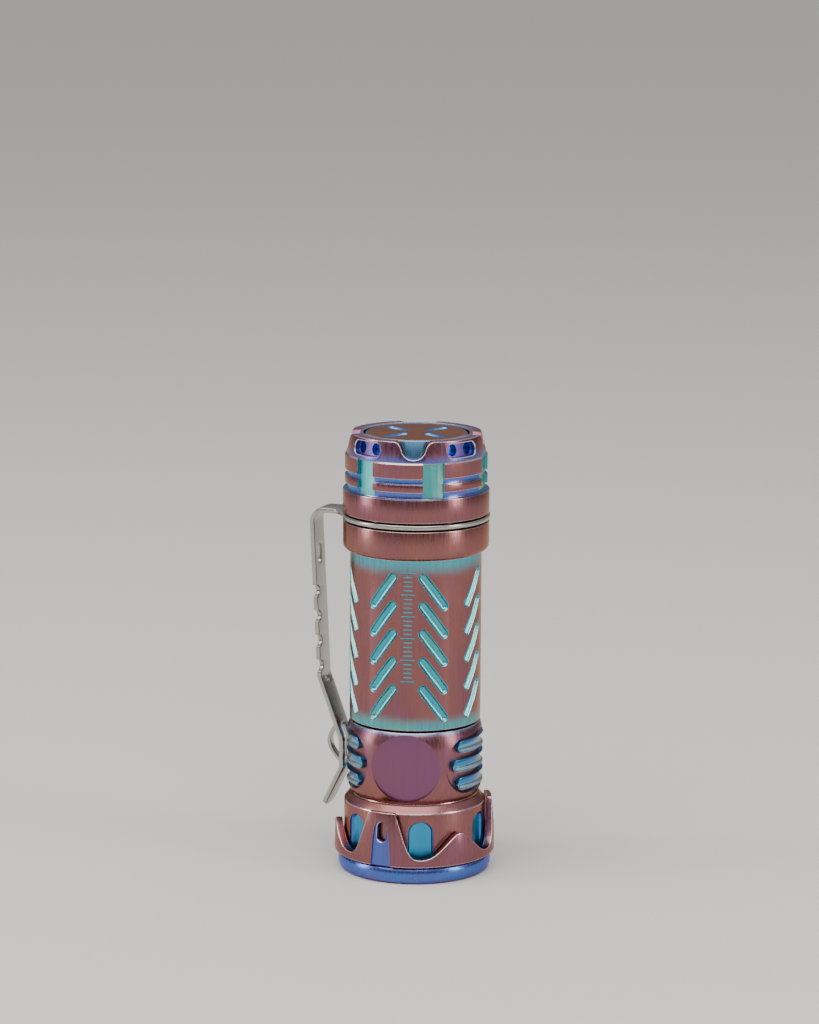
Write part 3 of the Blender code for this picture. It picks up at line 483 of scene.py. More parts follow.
def slug(name, length, width, thickness, layers, ends=14):
    """A bar with round ends, flat on the XZ plane and facing -Y, its face stepped by (inset, rise) layers."""
    bpy.ops.object.select_all(action="DESELECT")
    bpy.ops.mesh.primitive_circle_add(vertices=2 * ends, radius=width / 2 * MM, fill_type="NGON",
                                      rotation=(math.pi / 2, 0, 0))
    piece = bpy.context.object
    piece.name = name
    bpy.ops.object.transform_apply(location=True, rotation=True, scale=True)
    for corner in piece.data.vertices:
        if abs(corner.co.x) > 1e-7:
            corner.co.x += math.copysign((length - width) / 2 * MM, corner.co.x)
    bpy.ops.object.mode_set(mode="EDIT")
    bpy.ops.mesh.select_all(action="SELECT")
    bpy.ops.mesh.extrude_region_move(TRANSFORM_OT_translate={"value": (0, -thickness * MM, 0)})
    for inset, rise in layers:
        bpy.ops.mesh.inset(thickness=inset * MM, depth=rise * MM)
    bpy.ops.mesh.select_all(action="SELECT")
    bpy.ops.mesh.normals_make_consistent(inside=False)
    bpy.ops.object.mode_set(mode="OBJECT")
    return piece


def slice_strips(piece, width):
    """Cuts a flat piece into upright strips, so that it can be wrapped round the axis."""
    wake(piece)
    places = [corner.co.x for corner in piece.data.vertices]
    first = math.ceil(min(places) / (width * MM) + 0.02)
    last = math.floor(max(places) / (width * MM) - 0.02)
    bpy.ops.object.mode_set(mode="EDIT")
    for line in range(first, last + 1):
        bpy.ops.mesh.select_all(action="SELECT")
        bpy.ops.mesh.bisect(plane_co=(line * width * MM, 0, 0), plane_no=(1, 0, 0))
    bpy.ops.object.mode_set(mode="OBJECT")


def wrap_round(piece, radius, turn=0.0):
    """Bends a flat piece on the XZ plane round the axis: X runs along the circle, -Y points out."""
    for corner in piece.data.vertices:
        angle = corner.co.x / (radius * MM) + math.radians(turn)
        out = radius * MM - corner.co.y
        corner.co = (out * math.sin(angle), -out * math.cos(angle), corner.co.z)


def spin(piece, degrees, axis="Z"):
    """Turns a piece's mesh about an axis through the origin."""
    piece.data.transform(Matrix.Rotation(math.radians(degrees), 4, axis))


def shift(piece, across, out, height):
    """Moves a piece's mesh, in millimetres."""
    piece.data.transform(Matrix.Translation(Vector((across, out, height)) * MM))


def face_inwards(tool, proud, height):
    """Turns a cutter over, so that its stepped face cuts inwards, and leaves its back standing proud."""
    spin(tool, 180)
    shift(tool, 0, -proud, height)


def copy_of(piece, name):
    twin = piece.copy()
    twin.data = piece.data.copy()
    twin.name = name
    bpy.context.scene.collection.objects.link(twin)
    return twin


def joined(pieces, name):
    bpy.ops.object.select_all(action="DESELECT")
    for piece in pieces:
        piece.select_set(True)
    bpy.context.view_layer.objects.active = pieces[0]
    if len(pieces) > 1:
        bpy.ops.object.join()
    pieces[0].name = name
    return pieces[0]


def mill(piece, tool, operation="DIFFERENCE"):
    """Cuts the tool out of the piece, or welds it on, and keeps the tool's own material on the new faces."""
    wake(piece)
    cut = piece.modifiers.new("milling", "BOOLEAN")
    cut.operation = operation
    cut.solver = "EXACT"
    cut.material_mode = "TRANSFER"
    cut.object = tool
    bpy.ops.object.modifier_apply(modifier=cut.name)
    bpy.data.objects.remove(tool, do_unlink=True)


def paint_faces(piece, finishes, choose):
    """Gives the piece its finishes, and each face the one that choose(face) numbers."""
    give(piece, *finishes)
    for face in piece.data.polygons:
        face.material_index = choose(face)


def is_wall(face):
    """1 on a cutter's side walls and 0 on the floor that it cuts."""
    return int(abs(face.normal.y) < 0.9)


def rod(radius, depth, sides, finish):
    """A round cutter that lies along Y, with its middle at the origin."""
    bpy.ops.object.select_all(action="DESELECT")
    bpy.ops.mesh.primitive_cylinder_add(vertices=sides, radius=radius * MM, depth=depth * MM,
                                        rotation=(math.pi / 2, 0, 0))
    tool = bpy.context.object
    bpy.ops.object.transform_apply(location=True, rotation=True, scale=True)
    give(tool, finish)
    return tool


def make_flutes(recess, wall):
    flutes = []
    for count in range(FLUTE_COUNT):
        flute = slug("flute", FLUTE_LENGTH, FLUTE_WIDTH, 1.0, [(0.05, 0.03), (0.18, 0.30), (0.30, 0.12)])
        spin(flute, 90, "Y")
        face_inwards(flute, 0.75, FLUTE_TOP - FLUTE_LENGTH / 2)
        # The walls take a darker blue than the floor: painted shade inside the flute.
        paint_faces(flute, (recess, wall), is_wall)
        wrap_round(flute, RING_RADIUS, FLUTE_TURN + 360.0 / FLUTE_COUNT * count)
        flutes.append(flute)
    return joined(flutes, "flute_tools")


def turn_head(skin, edge):
    outline = [(WAIST_RADIUS - 0.05, RING_FOOT), (RING_RADIUS - 0.12, RING_FOOT),
               (RING_RADIUS, RING_FOOT + 0.15), (RING_RADIUS, RING_TOP),
               (RING_RADIUS - 0.95, RING_TOP + 1.12), (WAIST_RADIUS + 0.15, RING_TOP + 1.16),
               (WAIST_RADIUS, RING_TOP + 1.2), (WAIST_RADIUS, BARREL_FLOOR)]
    for step in range(BARREL_STEPS + 1):
        height = BARREL_FLOOR + (BARREL_TOP - BARREL_FLOOR) * step / BARREL_STEPS
        from_middle = (height - BARREL_MIDDLE) / (BARREL_TOP - BARREL_MIDDLE)
        base = BARREL_SHOULDER_RADIUS if from_middle > 0 else BARREL_FOOT_RADIUS
        outline.append((BARREL_RADIUS - (BARREL_RADIUS - base) * abs(from_middle) ** BARREL_SWELL, height))
    outline += [(NECK_RADIUS + 1.0, BARREL_TOP + 0.05), (NECK_RADIUS, BARREL_TOP + 0.05),
                (NECK_RADIUS, NECK_TOP), (BACK_BORE, NECK_TOP), (BACK_BORE, SHELF_TOP),
                (CAVITY_RADIUS, SHELF_TOP), (CAVITY_RADIUS, CAVITY_FOOT), (FRONT_BORE, CAVITY_FOOT),
                (FRONT_BORE, RING_FOOT)]
    head = turn_profile("milled_head", outline)
    give(head, skin, edge)
    soften(head, 0.12, 2, 40.0, 1)
    return head


def make_flats(finish):
    flats = []
    for side in (0.0, 180.0):
        flat = rod(FLAT_RADIUS, 6.0, 96, finish)
        shift(flat, 0, -(FLAT_DISTANCE + 3.0), BARREL_MIDDLE)
        spin(flat, FLAT_TURN + side)
        flats.append(flat)
    return joined(flats, "flat_tools")


def make_pockets(length, floor, flare):
    pockets = []
    for side in (0.0, 180.0):
        pocket = slug("pocket", length, POCKET_HEIGHT, 1.0, [(0.12, 0.10), (0.30, 0.50), (0.22, 0.34)], 24)
        face_inwards(pocket, 0.90, BARREL_MIDDLE)
        # The walls take a paler finish than the floor: the pocket's own tint with a painted highlight along
        # its rim.
        paint_faces(pocket, (floor, flare), is_wall)
        slice_strips(pocket, WRAP_STRIP)
        wrap_round(pocket, BARREL_RADIUS, POCKET_TURN + side)
        pockets.append(pocket)
    return joined(pockets, "pocket_tools")


def make_bars(pocket_length, scoop, brow, lip):
    """Three bars across each pocket, with round ends that follow its round ends and a scooped face, coloured
    with painted shade above and a painted highlight on the up-facing faces below.
    """
    layers = [(0.07, 0.04), (0.05, -0.03), (0.08, -0.17), (0.14, -0.16), (0.22, -0.14), (0.30, -0.06)]
    bars = []
    for side in (0.0, 180.0):
        for row in range(BAR_COUNT):
            rise = (row - (BAR_COUNT - 1) / 2) * BAR_PITCH
            middle = BARREL_MIDDLE + rise
            reach = math.sqrt((POCKET_HEIGHT / 2) ** 2 - rise ** 2)
            length = pocket_length - POCKET_HEIGHT + 2 * reach - 2 * BAR_MARGIN
            bar = slug("bar", length, BAR_WIDTH, 1.15, layers)
            shift(bar, 0, BARREL_RADIUS - POCKET_FLOOR + BAR_ROOT, middle)
            give(bar, scoop, brow, lip)
            # Painted light: up-facing faces in the lower half take a pale painted highlight, the upper half
            # and the steep faces a dark blue painted shade, and the rest keeps the bar's azure.
            for face in bar.data.polygons:
                above = face.center.z > middle * MM
                if face.normal.z > 0.2 and not above:
                    face.material_index = 2
                elif above or abs(face.normal.z) > 0.2:
                    face.material_index = 1
            slice_strips(bar, WRAP_STRIP)
            wrap_round(bar, BARREL_RADIUS, POCKET_TURN + side)
            bars.append(bar)
    return joined(bars, "bar_blanks")


def make_head():
    skin = heat_metal("mauve_titanium", 0.30, roughness=0.28,
                      fades=((25.1, 24.3, 0.72, 0.8), (16.2, 18.5, 0.20, 0.6)))
    # Bevels: a straw edge tint made pale towards near-white, partly the edge's own colour and partly a
    # painted highlight.
    edge = heat_metal("edge_tint_and_highlight", 0.20, spread=0.06, streaks=0.2, lift=0.38, roughness=0.22)
    teal = heat_metal("teal_recess", 0.74, spread=0.05, streaks=0.35, roughness=0.32)
    # Flute walls: a darker blue that paints the shade inside the recess.
    deep = heat_metal("flute_wall_painted_shade", 0.62, spread=0.03, streaks=0.2, roughness=0.28)
    plum = heat_metal("plum_flat", 0.37, spread=0.025, streaks=0.25, roughness=0.34)
    floor = heat_metal("pocket_floor", 0.27, spread=0.04, streaks=0.3, roughness=0.38)
    # Pocket walls: a brown tint lifted pale as a painted highlight.
    flare = heat_metal("pocket_wall_tint_and_highlight", 0.24, spread=0.05, streaks=0.2, lift=0.16, roughness=0.28)
    # Grip bars: azure is their own colour, the dark blue after it is painted shade and the pale one a painted
    # highlight.
    azure = heat_metal("azure_bar", 0.76, spread=0.05, streaks=0.06, lift=0.12, roughness=0.26)
    upper = heat_metal("bar_painted_shade", 0.68, spread=0.05, streaks=0.06, roughness=0.30)
    pale = heat_metal("bar_painted_highlight", 0.84, spread=0.05, streaks=0.06, lift=0.34, roughness=0.28)
    pocket_length = 2 * math.radians(POCKET_HALF_TURN) * BARREL_RADIUS
    head = turn_head(skin, edge)
    mill(head, make_flutes(teal, deep))
    mill(head, make_flats(plum))
    mill(head, make_pockets(pocket_length, floor, flare))
    mill(head, make_bars(pocket_length, azure, upper, pale), "UNION")
    seat(head, "head", "head_body")


make_head()

# ---- Crown ----
# A separate titanium ring stands round the head's foot. Its rim is milled into three tall pillars with three
# low points between them, and each pillar has a tapered flute with an oval hole through it.
SKIRT_RADIUS = 13.25
SKIRT_INNER = 11.97
SKIRT_FOOT = 3.05
SKIRT_TAPER_FOOT = 6.6
SKIRT_TAPER = 0.45
PILLAR_COUNT = 3
PILLAR_TOP = 11.95
PILLAR_TURN = -5.0
PILLAR_HOLE_LENGTH = 3.56
PILLAR_HOLE_WIDTH = 2.06
PILLAR_HOLE_MIDDLE = 8.65
OVERLAP_TURN = 63.0          # a repeat is milled this long and then trimmed, so that its ends stay clean
ARC_STRIP_TURN = 2.5


def plate(name, outline, thickness):
    """A flat plate on the XZ plane with its face at Y = 0 towards -Y, from a closed (x, z) outline."""
    bpy.ops.object.select_all(action="DESELECT")
    bpy.ops.mesh.primitive_circle_add(vertices=len(outline), radius=MM, fill_type="NGON")
    piece = bpy.context.object
    piece.name = name
    for corner, (across, height) in zip(piece.data.vertices, outline):
        corner.co = (across * MM, thickness * MM, height * MM)
    bpy.ops.object.mode_set(mode="EDIT")
    bpy.ops.mesh.select_all(action="SELECT")
    bpy.ops.mesh.extrude_region_move(TRANSFORM_OT_translate={"value": (0, -thickness * MM, 0)})
    bpy.ops.mesh.select_all(action="SELECT")
    bpy.ops.mesh.normals_make_consistent(inside=False)
    bpy.ops.object.mode_set(mode="OBJECT")
    return piece


def crown_edge():
    """Half of one repeat of the rim, as (degrees from the pillar's middle, height)."""
    edge = [(10.4, PILLAR_TOP), (11.2, 11.55), (14.5, 9.3), (17.6, 7.2), (20.0, 5.85)]
    valley = [(22.0, 5.05), (24.2, 4.58), (26.8, 4.36), (30.0, 4.3), (33.4, 4.38), (36.8, 4.62), (40.2, 5.05)]
    point = [(44.0, 5.75), (48.5, 6.65), (53.0, 7.5), (57.0, 8.15), (60.0, 8.4), (OVERLAP_TURN, 8.15)]
    return edge + valley + point


def trim_sides(piece, reach):
    """Cuts a repeat off square at both ends and leaves them open, so that the repeats weld into a ring."""
    wake(piece)
    bpy.ops.object.mode_set(mode="EDIT")
    for side in (1, -1):
        bpy.ops.mesh.select_all(action="SELECT")
        bpy.ops.mesh.bisect(plane_co=(side * reach * MM, 0, 0), plane_no=(side, 0, 0), clear_outer=True)
    bpy.ops.object.mode_set(mode="OBJECT")


def lean_in(piece, foot, top, amount, depth):
    """Leans a plate's face in towards its top and leaves its back upright."""
    for corner in piece.data.vertices:
        climbed = max(0.0, corner.co.z / MM - foot) / (top - foot)
        outward = 1.0 - min(1.0, corner.co.y / MM / depth)
        corner.co.y += amount * climbed * outward * MM


def ring_of(repeat, count, radius, turn, name):
    """Wraps copies of one repeat end to end round the axis and welds them into a ring."""
    slice_strips(repeat, math.radians(ARC_STRIP_TURN) * radius)
    repeats = [repeat] + [copy_of(repeat, repeat.name) for twin in range(count - 1)]
    for place, part in enumerate(repeats):
        wrap_round(part, radius, turn + 360.0 / count * place)
    ring = joined(repeats, name)
    wake(ring)
    bpy.ops.object.mode_set(mode="EDIT")
    bpy.ops.mesh.select_all(action="SELECT")
    bpy.ops.mesh.remove_doubles(threshold=MERGE)
    bpy.ops.mesh.normals_make_consistent(inside=False)
    bpy.ops.object.mode_set(mode="OBJECT")
    return ring


def make_pillar_flute(finish):
    side = [(1.85, 2.0), (1.45, 7.5), (1.22, 9.4), (0.9, 10.1), (0.45, 10.42)]
    other_side = [(-across, height) for across, height in reversed(side[1:])]
    flute = plate("pillar_flute", [(-1.85, 2.0)] + side + [(0.0, 10.5)] + other_side, 1.0)
    shift(flute, 0, -0.62, 0)
    soften(flute, 0.16, 2, 60.0)
    give(flute, finish)
    return flute


def make_pillar_hole(wall, lip):
    hole = slug("pillar_hole", PILLAR_HOLE_LENGTH, PILLAR_HOLE_WIDTH, 1.0, [(0.13, 0.13), (0.02, 2.0)])
    spin(hole, 90, "Y")
    face_inwards(hole, 0.64, PILLAR_HOLE_MIDDLE)
    # The hole's chamfer takes a pale lavender finish: a painted highlight over a lavender tint.
    paint_faces(hole, (wall, lip), lambda face: int(0.5 < abs(face.normal.y) < 0.9))
    return hole


def make_crown():
    skin = heat_metal("mauve_crown", 0.29, roughness=0.27)
    # Bevels: a straw edge tint made pale, partly the edge's own colour and partly a painted highlight.
    edge = heat_metal("crown_bevel_tint_and_highlight", 0.16, spread=0.09, streaks=0.1, lift=0.42, roughness=0.2)
    blue = heat_metal("blue_flute", 0.58, spread=0.06, streaks=0.3, roughness=0.33)
    # Hole chamfer: a lavender tint lifted pale as a painted highlight.
    lip = heat_metal("hole_chamfer_tint_and_highlight", 0.48, spread=0.05, streaks=0.1, lift=0.4, roughness=0.24)
    arc = math.radians(1.0) * SKIRT_RADIUS
    rim = [(turn * arc, height) for turn, height in crown_edge()]
    outline = [(-OVERLAP_TURN * arc, SKIRT_FOOT), (OVERLAP_TURN * arc, SKIRT_FOOT)] + list(reversed(rim))
    outline += [(-across, height) for across, height in rim]
    repeat = plate("crown_repeat", outline, SKIRT_RADIUS - SKIRT_INNER)
    give(repeat, skin, edge)
    soften(repeat, 0.13, 3, 28.0, 1)
    mill(repeat, make_pillar_flute(blue))
    mill(repeat, make_pillar_hole(blue, lip))
    trim_sides(repeat, 180.0 / PILLAR_COUNT * arc)
    lean_in(repeat, SKIRT_TAPER_FOOT, PILLAR_TOP, SKIRT_TAPER, SKIRT_RADIUS - SKIRT_INNER)
    crown = ring_of(repeat, PILLAR_COUNT, SKIRT_RADIUS, PILLAR_TURN, "crown_fence")
    seat(crown, "head", "crown_skirt")


make_crown()

# ---- Driver ----
# The driver board sits in the head's back, held by a brass lock ring. A sprung brass pin on it touches the
# cell, and its coil and chip hang in the space between the board and the LED's shelf.
coat("driver_board", plain_finish("green_circuit", (0.03, 0.20, 0.10), 0.45, 0.0, 0.12, 1400.0))
coat("driver_inductor", plain_finish("ferrite", (0.07, 0.07, 0.075), 0.6, 0.0, 0.15))
coat("driver_chip", plain_finish("black_moulding", (0.04, 0.04, 0.045), 0.5, 0.0, 0.15))
brass = plain_finish("turned_brass", (0.78, 0.58, 0.27), 0.28, 1.0, 0.05)
coat("driver_contact", brass)
coat("driver_lock_ring", brass)

# ---- Cell ----
# One nickel-plated lithium cell with a button top and a white insulating washer. It stands button down on
# the driver's pin.
nickel = plain_finish("nickel_plate", (0.58, 0.58, 0.59), 0.3, 1.0, 0.04)
coat("battery_cell", nickel)
coat("battery_button", nickel)
coat("battery_insulator", white_moulding)

# ---- Tube ----
# The battery tube is turned, then milled with four columns of chevrons, and blushes teal where it meets the
# collar and the head. Fine teal ticks are engraved between two columns. The clip's groove and the tail
# thread are above the collar.
TUBE_RADIUS = 10.8
TUBE_FOOT = 25.4
TUBE_BORE = 8.5
TUBE_SHELF = 29.4
NECK_SOCKET_RADIUS = 9.6
SEAL_SOCKET_RADIUS = 10.3
SEAL_SOCKET_TOP = 26.5
COLLAR_RADIUS = 12.0
COLLAR_FOOT = 53.65
COLLAR_FLARE = 1.15
COLLAR_FLARE_STEPS = 7
COLLAR_TOP = 58.55
CLIP_SEAT_RADIUS = 10.4
CLIP_SEAT_TOP = 59.65
THREAD_ROOT = 9.55
THREAD_CREST = 9.9
THREAD_PITCH = 1.0
THREAD_FOOT = 60.6
THREAD_TURNS = 4
THREAD_STEPS = 72
TUBE_TOP = 64.95
SLOT_WIDTH = 1.5
SLOT_DEPTH = 0.55
SLOT_RISE = 4.82
SLOT_TURN = 19.2
SLOT_PITCH = 4.62
SLOT_FIRST = 50.8
SLOT_ROWS = 5
SLOT_STEPS = 6
CHEVRON_COUNT = 4
CHEVRON_TURN = 58.2
CHEVRON_SPREAD = 22.2
TICK_TURN = 13.2
TICK_COUNT = 26
TICK_PITCH = 0.72
TICK_FIRST = 33.6
TICK_WIDTH = 0.26
TICK_DEPTH = 0.07


def make_slots(recess, lip):
    across = math.radians(SLOT_TURN) * TUBE_RADIUS
    length = math.hypot(across, SLOT_RISE) + SLOT_WIDTH
    layers = [(0.1, 0.08)]
    for step in range(SLOT_STEPS):
        start, end = (math.radians(80.0 * turn / SLOT_STEPS) for turn in (step, step + 1))
        layers.append((SLOT_WIDTH / 2 * (math.cos(start) - math.cos(end)),
                       SLOT_DEPTH * (math.sin(end) - math.sin(start))))
    slots = []
    for column in range(CHEVRON_COUNT):
        for side in (-1, 1):
            turn = CHEVRON_TURN + 360.0 / CHEVRON_COUNT * column + side * CHEVRON_SPREAD
            for row in range(SLOT_ROWS):
                slot = slug("slot", length, SLOT_WIDTH + 0.2, 0.5, layers, 10)
                face_inwards(slot, 0.48, 0)
                spin(slot, -side * math.degrees(math.atan2(SLOT_RISE, across)), "Y")
                shift(slot, 0, 0, SLOT_FIRST - SLOT_RISE / 2 - SLOT_PITCH * row)
                # Faces that point down on the cutter become the slot's up-facing lower wall, which takes a
                # paler teal: a painted highlight.
                paint_faces(slot, (recess, lip), lambda face: int(face.normal.z < -0.35))
                wrap_round(slot, TUBE_RADIUS, turn)
                slots.append(slot)
    return joined(slots, "slot_tools")


def make_ticks(recess):
    """A plain scale of fine engraved ticks: every fifth is longer."""
    ticks = []
    for count in range(TICK_COUNT):
        length = 2.4 if count % 5 == 0 else 1.5
        tick = slug("tick", length, TICK_WIDTH, 0.5, [(0.02, 0.0)], 4)
        shift(tick, 0, TICK_DEPTH, TICK_FIRST + TICK_PITCH * count)
        wrap_round(tick, TUBE_RADIUS, TICK_TURN)
        give(tick, recess)
        ticks.append(tick)
    return joined(ticks, "tick_tools")


def thread_ridge(name, root, crest, foot, turns, pitch):
    """A screw thread's ridge wound up the axis, that dies away into the root at both ends."""
    bpy.ops.object.select_all(action="DESELECT")
    bpy.ops.mesh.primitive_circle_add(vertices=4, radius=MM, fill_type="NOTHING")
    ridge = bpy.context.object
    ridge.name = name
    section = [(root - 0.08, -0.42 * pitch), (crest, -0.07 * pitch), (crest, 0.07 * pitch),
               (root - 0.08, 0.42 * pitch)]
    for corner, (out, rise) in zip(ridge.data.vertices, section):
        corner.co = (out * MM, 0, (foot + rise) * MM)
    winding = ridge.modifiers.new("winding", "SCREW")
    winding.angle = 2 * math.pi
    winding.screw_offset = pitch * MM
    winding.iterations = turns
    winding.steps = THREAD_STEPS
    bpy.ops.object.modifier_apply(modifier=winding.name)
    for corner in ridge.data.vertices:
        climbed = (corner.co.z / MM - foot) / pitch
        from_end = min(climbed, turns - climbed) + 0.45
        out = math.hypot(corner.co.x, corner.co.y)
        if out > root * MM:
            kept = (root + (crest - root) * min(1.0, max(0.0, 4.0 * (from_end - 0.5)))) * MM
            corner.co.x *= kept / out
            corner.co.y *= kept / out
    return ridge


def turn_tube(skin, edge, collar_skin):
    outline = [(TUBE_BORE, TUBE_SHELF), (NECK_SOCKET_RADIUS, TUBE_SHELF),
               (NECK_SOCKET_RADIUS, SEAL_SOCKET_TOP), (SEAL_SOCKET_RADIUS, SEAL_SOCKET_TOP),
               (SEAL_SOCKET_RADIUS, TUBE_FOOT), (TUBE_RADIUS, TUBE_FOOT), (TUBE_RADIUS, COLLAR_FOOT)]
    for step in range(1, COLLAR_FLARE_STEPS + 1):
        turn = math.radians(90.0 * step / COLLAR_FLARE_STEPS)
        outline.append((TUBE_RADIUS + (COLLAR_RADIUS - TUBE_RADIUS) * math.sin(turn),
                        COLLAR_FOOT + COLLAR_FLARE * (1 - math.cos(turn))))
    outline += [(COLLAR_RADIUS, COLLAR_TOP), (CLIP_SEAT_RADIUS, COLLAR_TOP),
                (CLIP_SEAT_RADIUS, CLIP_SEAT_TOP), (THREAD_ROOT, CLIP_SEAT_TOP),
                (THREAD_ROOT, TUBE_TOP - 0.2), (THREAD_ROOT - 0.2, TUBE_TOP), (TUBE_BORE, TUBE_TOP)]
    tube = turn_profile("chevron_tube", outline)
    paint_faces(tube, (skin, edge, collar_skin), lambda face: 2 * int(
        face.center.z > (COLLAR_FOOT + 0.05) * MM))
    soften(tube, 0.13, 3, 40.0, 1)
    return tube


def make_tube():
    skin = heat_metal("mauve_tube", 0.27, spread=0.05, streaks=0.6, roughness=0.29,
                      fades=((53.5, 50.6, 0.84, 0.95), (25.6, 28.2, 0.86, 0.95)))
    collar_skin = heat_metal("mauve_collar", 0.25, roughness=0.25)
    # Bevels: a straw edge tint made pale, partly the edge's own colour and partly a painted highlight.
    edge = heat_metal("tube_bevel_tint_and_highlight", 0.22, spread=0.07, streaks=0.1, lift=0.3, roughness=0.22)
    teal = heat_metal("teal_slot", 0.86, spread=0.07, streaks=0.08, roughness=0.28)
    # Lower slot walls: teal lifted pale as a painted highlight.
    lip = heat_metal("slot_wall_painted_highlight", 0.88, spread=0.05, streaks=0.08, lift=0.10, roughness=0.24)
    tube = turn_tube(skin, edge, collar_skin)
    mill(tube, make_slots(teal, lip))
    mill(tube, make_ticks(teal))
    thread = thread_ridge("tail_thread", THREAD_ROOT, THREAD_CREST, THREAD_FOOT, THREAD_TURNS, THREAD_PITCH)
    give(thread, collar_skin)
    tube = joined([tube, thread], "chevron_tube")
    seat(tube, "tube", "battery_tube")


make_tube()
coat("front_o_ring", rubber)
coat("rear_o_ring", rubber)

# ---- Tail cap ----
# The tail cap screws onto the tube. Two ring grooves and six flutes leave short fins round it. Its crown is
# milled with four notches that open onto a thin blued wall, and four windows between them.
CAP_FOOT = 59.95
CAP_RADIUS = 12.0
CAP_BORE = 10.2
CAP_COLLAR_BORE = 10.9
CAP_COLLAR_DEPTH = 1.0
CAP_TOP_BORE = 8.5
CAP_BORE_TOP = 65.25
CAP_SHELF_FOOT = 67.9
CAP_SHELF_TOP = 71.25
CAP_MIDDLE = 0.05
GRIP_TOP = 63.8
FIN_RADIUS = 11.67
FIN_HEIGHTS = ((64.9, 66.2), (67.1, 69.45))
CAP_GROOVE_FLOOR = 11.2
CAP_FLUTE_COUNT = 6
CAP_FLUTE_TURN = 34.0
CAP_FLUTE_WIDTH = 3.9
CAP_FLUTE_FOOT = 63.9
CAP_FLUTE_TOP = 69.9
CROWN_FOOT = 69.75
CROWN_TOP = 73.05
CROWN_RADIUS = 11.4
CROWN_WALL_RADIUS = 9.2
CROWN_BORE = 8.7
CROWN_LEAN = 0.55
NOTCH_COUNT = 4
NOTCH_TURN = 17.4
NOTCH_EDGE = [(0.0, 70.2), (0.75, 70.32), (1.4, 70.7), (1.86, 71.25), (2.08, 71.85), (2.3, 72.35),
              (2.72, 72.82), (3.3, CROWN_TOP)]
WINDOW_LENGTH = 6.8
WINDOW_HEIGHT = 2.6
WINDOW_MIDDLE = 71.42
EYE_OFFSET = 1.75
EYE_RADIUS = 0.98


def cap_face(face):
    """0 on the skin, 1 on the ledge's edge (a pale painted highlight), 2 in the ring grooves and 3 on the
    crown's thin wall.
    """
    height = face.center.z / MM
    radius = math.hypot(face.center.x, face.center.y) / MM
    in_groove = CAP_GROOVE_FLOOR - 0.1 < radius < FIN_RADIUS - 0.07
    if in_groove and GRIP_TOP - 0.05 < height < FIN_HEIGHTS[1][0] + 0.05:
        return 2
    if FIN_HEIGHTS[1][1] < height < CROWN_FOOT + 0.01 and radius > CAP_GROOVE_FLOOR - 0.2:
        return 1
    return 3 if height > CROWN_FOOT - 0.05 else 0


def make_cap_body(skin, edge, groove, wall, pale):
    outline = [(CAP_MIDDLE, CAP_SHELF_FOOT), (CAP_TOP_BORE, CAP_SHELF_FOOT), (CAP_TOP_BORE, CAP_BORE_TOP),
               (CAP_BORE, CAP_BORE_TOP), (CAP_BORE, CAP_FOOT + CAP_COLLAR_DEPTH),
               (CAP_COLLAR_BORE, CAP_FOOT + CAP_COLLAR_DEPTH), (CAP_COLLAR_BORE, CAP_FOOT),
               (CAP_RADIUS, CAP_FOOT), (CAP_RADIUS, GRIP_TOP)]
    groove_foot = GRIP_TOP
    for low, high in FIN_HEIGHTS:
        outline += [(CAP_GROOVE_FLOOR, groove_foot), (CAP_GROOVE_FLOOR, low), (FIN_RADIUS, low),
                    (FIN_RADIUS, high)]
        groove_foot = high
    outline += [(FIN_RADIUS - 0.25, CROWN_FOOT), (CROWN_WALL_RADIUS, CROWN_FOOT),
                (CROWN_WALL_RADIUS, CROWN_TOP - 0.12), (CROWN_WALL_RADIUS - 0.1, CROWN_TOP),
                (CROWN_BORE + 0.05, CROWN_TOP), (CROWN_BORE, CROWN_TOP - 0.06), (CROWN_BORE, CAP_SHELF_TOP),
                (CAP_MIDDLE, CAP_SHELF_TOP)]
    cap = turn_profile("finned_cap", outline)
    paint_faces(cap, (skin, edge, groove, wall), cap_face)
    soften(cap, 0.09, 2, 40.0, 1)
    flutes = []
    for count in range(CAP_FLUTE_COUNT):
        half = CAP_FLUTE_WIDTH / 2
        flute = plate("cap_flute", [(-half, CAP_FLUTE_FOOT), (half, CAP_FLUTE_FOOT), (half, CAP_FLUTE_TOP),
                                    (-half, CAP_FLUTE_TOP)], 1.6)
        slice_strips(flute, WRAP_STRIP)
        wrap_round(flute, CAP_GROOVE_FLOOR + 1.5, CAP_FLUTE_TURN + 360.0 / CAP_FLUTE_COUNT * count)
        give(flute, pale)
        flutes.append(flute)
    mill(cap, joined(flutes, "cap_flute_tools"))
    return cap


def make_window_tool(rib, lip, dark):
    window = slug("window", WINDOW_LENGTH, WINDOW_HEIGHT, 1.0, [(0.15, 0.14), (0.03, 0.75)], 12)
    face_inwards(window, 0.98, WINDOW_MIDDLE)
    # The window's chamfer takes a pale finish, a painted highlight over a violet tint; its side walls take
    # the deep blue.
    paint_faces(window, (rib, lip, dark), lambda face: 1 if 0.5 < abs(face.normal.y) < 0.9
                else 2 * int(abs(face.normal.y) <= 0.5))
    return window


